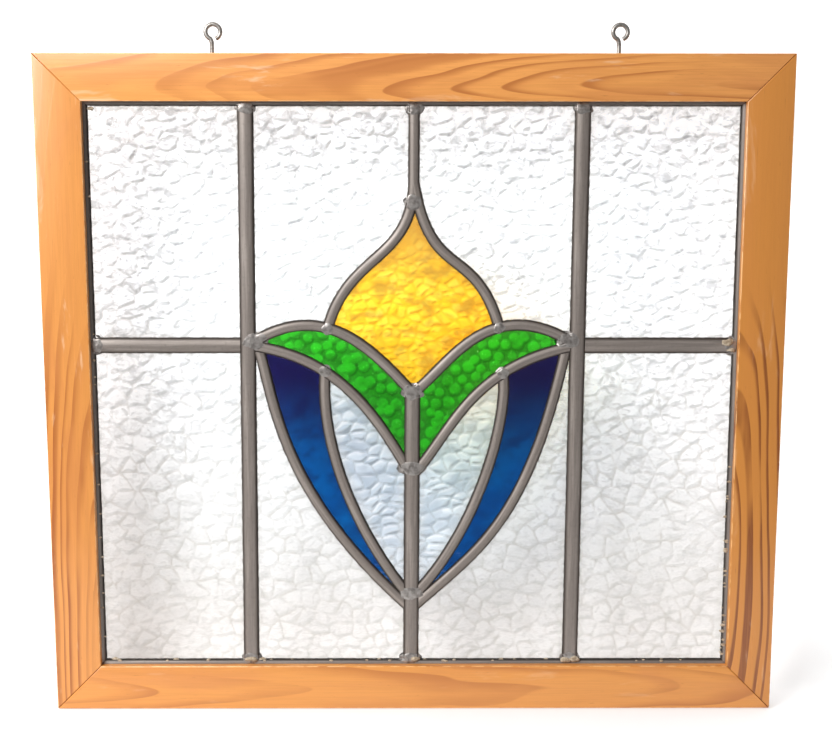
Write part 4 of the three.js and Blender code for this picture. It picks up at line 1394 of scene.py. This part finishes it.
class STAINED_OT_stage(bpy.types.Operator):
    """Sets the pale floor and wall, the soft lights and the camera"""

    bl_idname = "stained.stage"
    bl_label = "Stage"

    def execute(self, context):
        settings = context.scene.stained_glass
        floor = FOOT_LOW.z - 0.001
        wall = MEMBER_DEPTH / 2 + settings.wall_gap
        bm = bmesh.new()
        bmesh.ops.create_grid(bm, x_segments=1, y_segments=1, size=1.0)
        half = (wall + settings.floor_reach) / 2
        reach = Matrix.Translation((CENTRE_X, wall - half, floor)) @ Matrix.Diagonal((3.2, half, 1.0, 1.0))
        bmesh.ops.transform(bm, matrix=reach, verts=bm.verts[:])
        rear = [edge for edge in bm.edges if min(vert.co.y for vert in edge.verts) > wall - 0.01]
        made = bmesh.ops.extrude_edge_only(bm, edges=rear)["geom"]
        risen = [item for item in made if isinstance(item, bmesh.types.BMVert)]
        bmesh.ops.translate(bm, vec=(0, 0, 2.2), verts=risen)
        fold = [edge for edge in bm.edges if len(edge.link_faces) == 2]
        bmesh.ops.bevel(bm, geom=fold, offset=0.05, segments=12, profile=0.5,
                        affect="EDGES", material=-1)
        for face in bm.faces:
            if face.normal.z - face.normal.y < 0:
                face.normal_flip()
        mesh = bpy.data.meshes.new("backdrop")
        bm.to_mesh(mesh)
        bm.free()
        mesh.shade_smooth()
        material, tree, out = new_material("Pale backdrop")
        paper = cloud(tree, object_coordinates(tree), 6.0, 0.0)
        tone = mixed(tree, step(tree, paper, 0.3, 0.7), (0.50, 0.50, 0.505), (0.53, 0.53, 0.53))
        height = add(tree, "ShaderNodeSeparateXYZ", {0: object_coordinates(tree)}).outputs["Z"]
        glow = mixed(tree, step(tree, height, SIGHT_FOOT, SIGHT_TOP), (0.74, 0.74, 0.74), (1.0, 1.0, 1.0))
        glow = mixed(tree, step(tree, height, floor, floor + 0.05), (0.6, 0.6, 0.6), glow)
        shader = add(tree, "ShaderNodeBsdfPrincipled", {
            "Base Color": tone, "Roughness": 0.9,
            "Emission Color": glow, "Emission Strength": settings.wall_glow})
        behind = add(tree, "ShaderNodeNewGeometry").outputs["Backfacing"]
        through = add(tree, "ShaderNodeBsdfTransparent")
        blend = add(tree, "ShaderNodeMixShader", {0: behind, 1: shader.outputs[0], 2: through.outputs[0]})
        tree.links.new(blend.outputs[0], out.inputs[0])
        mesh.materials.append(material)
        backdrop = bpy.data.objects.new("backdrop", mesh)
        context.scene.collection.objects.link(backdrop)
        aim = Vector((CENTRE_X, 0, CENTRE_Z))
        self.light("key", Vector((-0.95, -1.15, 0.85)), aim, 0.9, settings.key_power)
        self.light("fill", Vector((1.3, -1.2, 0.1)), aim, 1.4, settings.fill_power)
        world = bpy.data.worlds.new("Soft studio")
        world.use_nodes = True
        world.node_tree.nodes["Background"].inputs["Color"].default_value = (0.95, 0.97, 1.0, 1.0)
        world.node_tree.nodes["Background"].inputs["Strength"].default_value = 0.12
        context.scene.world = world
        context.scene.view_settings.view_transform = "Standard"
        camera = bpy.data.cameras.new("camera")
        camera.sensor_width = 36.0
        camera.lens = CAMERA_LENS
        viewer = bpy.data.objects.new("camera", camera)
        viewer.location = CAMERA_PLACE
        viewer.rotation_euler = [math.radians(angle) for angle in CAMERA_DEGREES]
        context.scene.collection.objects.link(viewer)
        context.scene.camera = viewer
        return {"FINISHED"}

    def light(self, name, place, aim, size, power):
        """A square soft light that faces the panel."""
        lamp = bpy.data.lights.new(name, "AREA")
        lamp.shape = "SQUARE"
        lamp.size = size
        lamp.energy = power
        holder = bpy.data.objects.new(name, lamp)
        holder.location = aim + place
        holder.rotation_euler = (-place).to_track_quat("-Z", "Y").to_euler()
        bpy.context.scene.collection.objects.link(holder)


class STAINED_PT_sidebar(bpy.types.Panel):
    """The panel's settings and the steps that build it"""

    bl_idname = "STAINED_PT_sidebar"
    bl_label = "Stained glass"
    bl_space_type = "VIEW_3D"
    bl_region_type = "UI"
    bl_category = "Stained glass"

    def draw(self, context):
        settings = context.scene.stained_glass
        for name in PanelSettings.__annotations__:
            self.layout.prop(settings, name)
        for step_class in STEPS:
            self.layout.operator(step_class.bl_idname)


STEPS = (
    STAINED_OT_frame_members,
    STAINED_OT_cames,
    STAINED_OT_cement,
    STAINED_OT_panes,
    STAINED_OT_solder,
    STAINED_OT_screw_eyes,
    STAINED_OT_putty,
    STAINED_OT_stage,
)
CLASSES = (PanelSettings, *STEPS, STAINED_PT_sidebar)


def register():
    for item in CLASSES:
        bpy.utils.register_class(item)
    bpy.types.Scene.stained_glass = PointerProperty(type=PanelSettings)


def unregister():
    del bpy.types.Scene.stained_glass
    for item in reversed(CLASSES):
        bpy.utils.unregister_class(item)


def main():
    register()
    build_ring_group()
    build_wear_group()
    build_lead_shade_group()
    bpy.ops.stained.frame_members()
    bpy.ops.stained.cames()
    bpy.ops.stained.cement()
    bpy.ops.stained.panes()
    bpy.ops.stained.solder()
    bpy.ops.stained.screw_eyes()
    bpy.ops.stained.putty()
    bpy.ops.stained.stage()


if __name__ == "__main__":
    main()
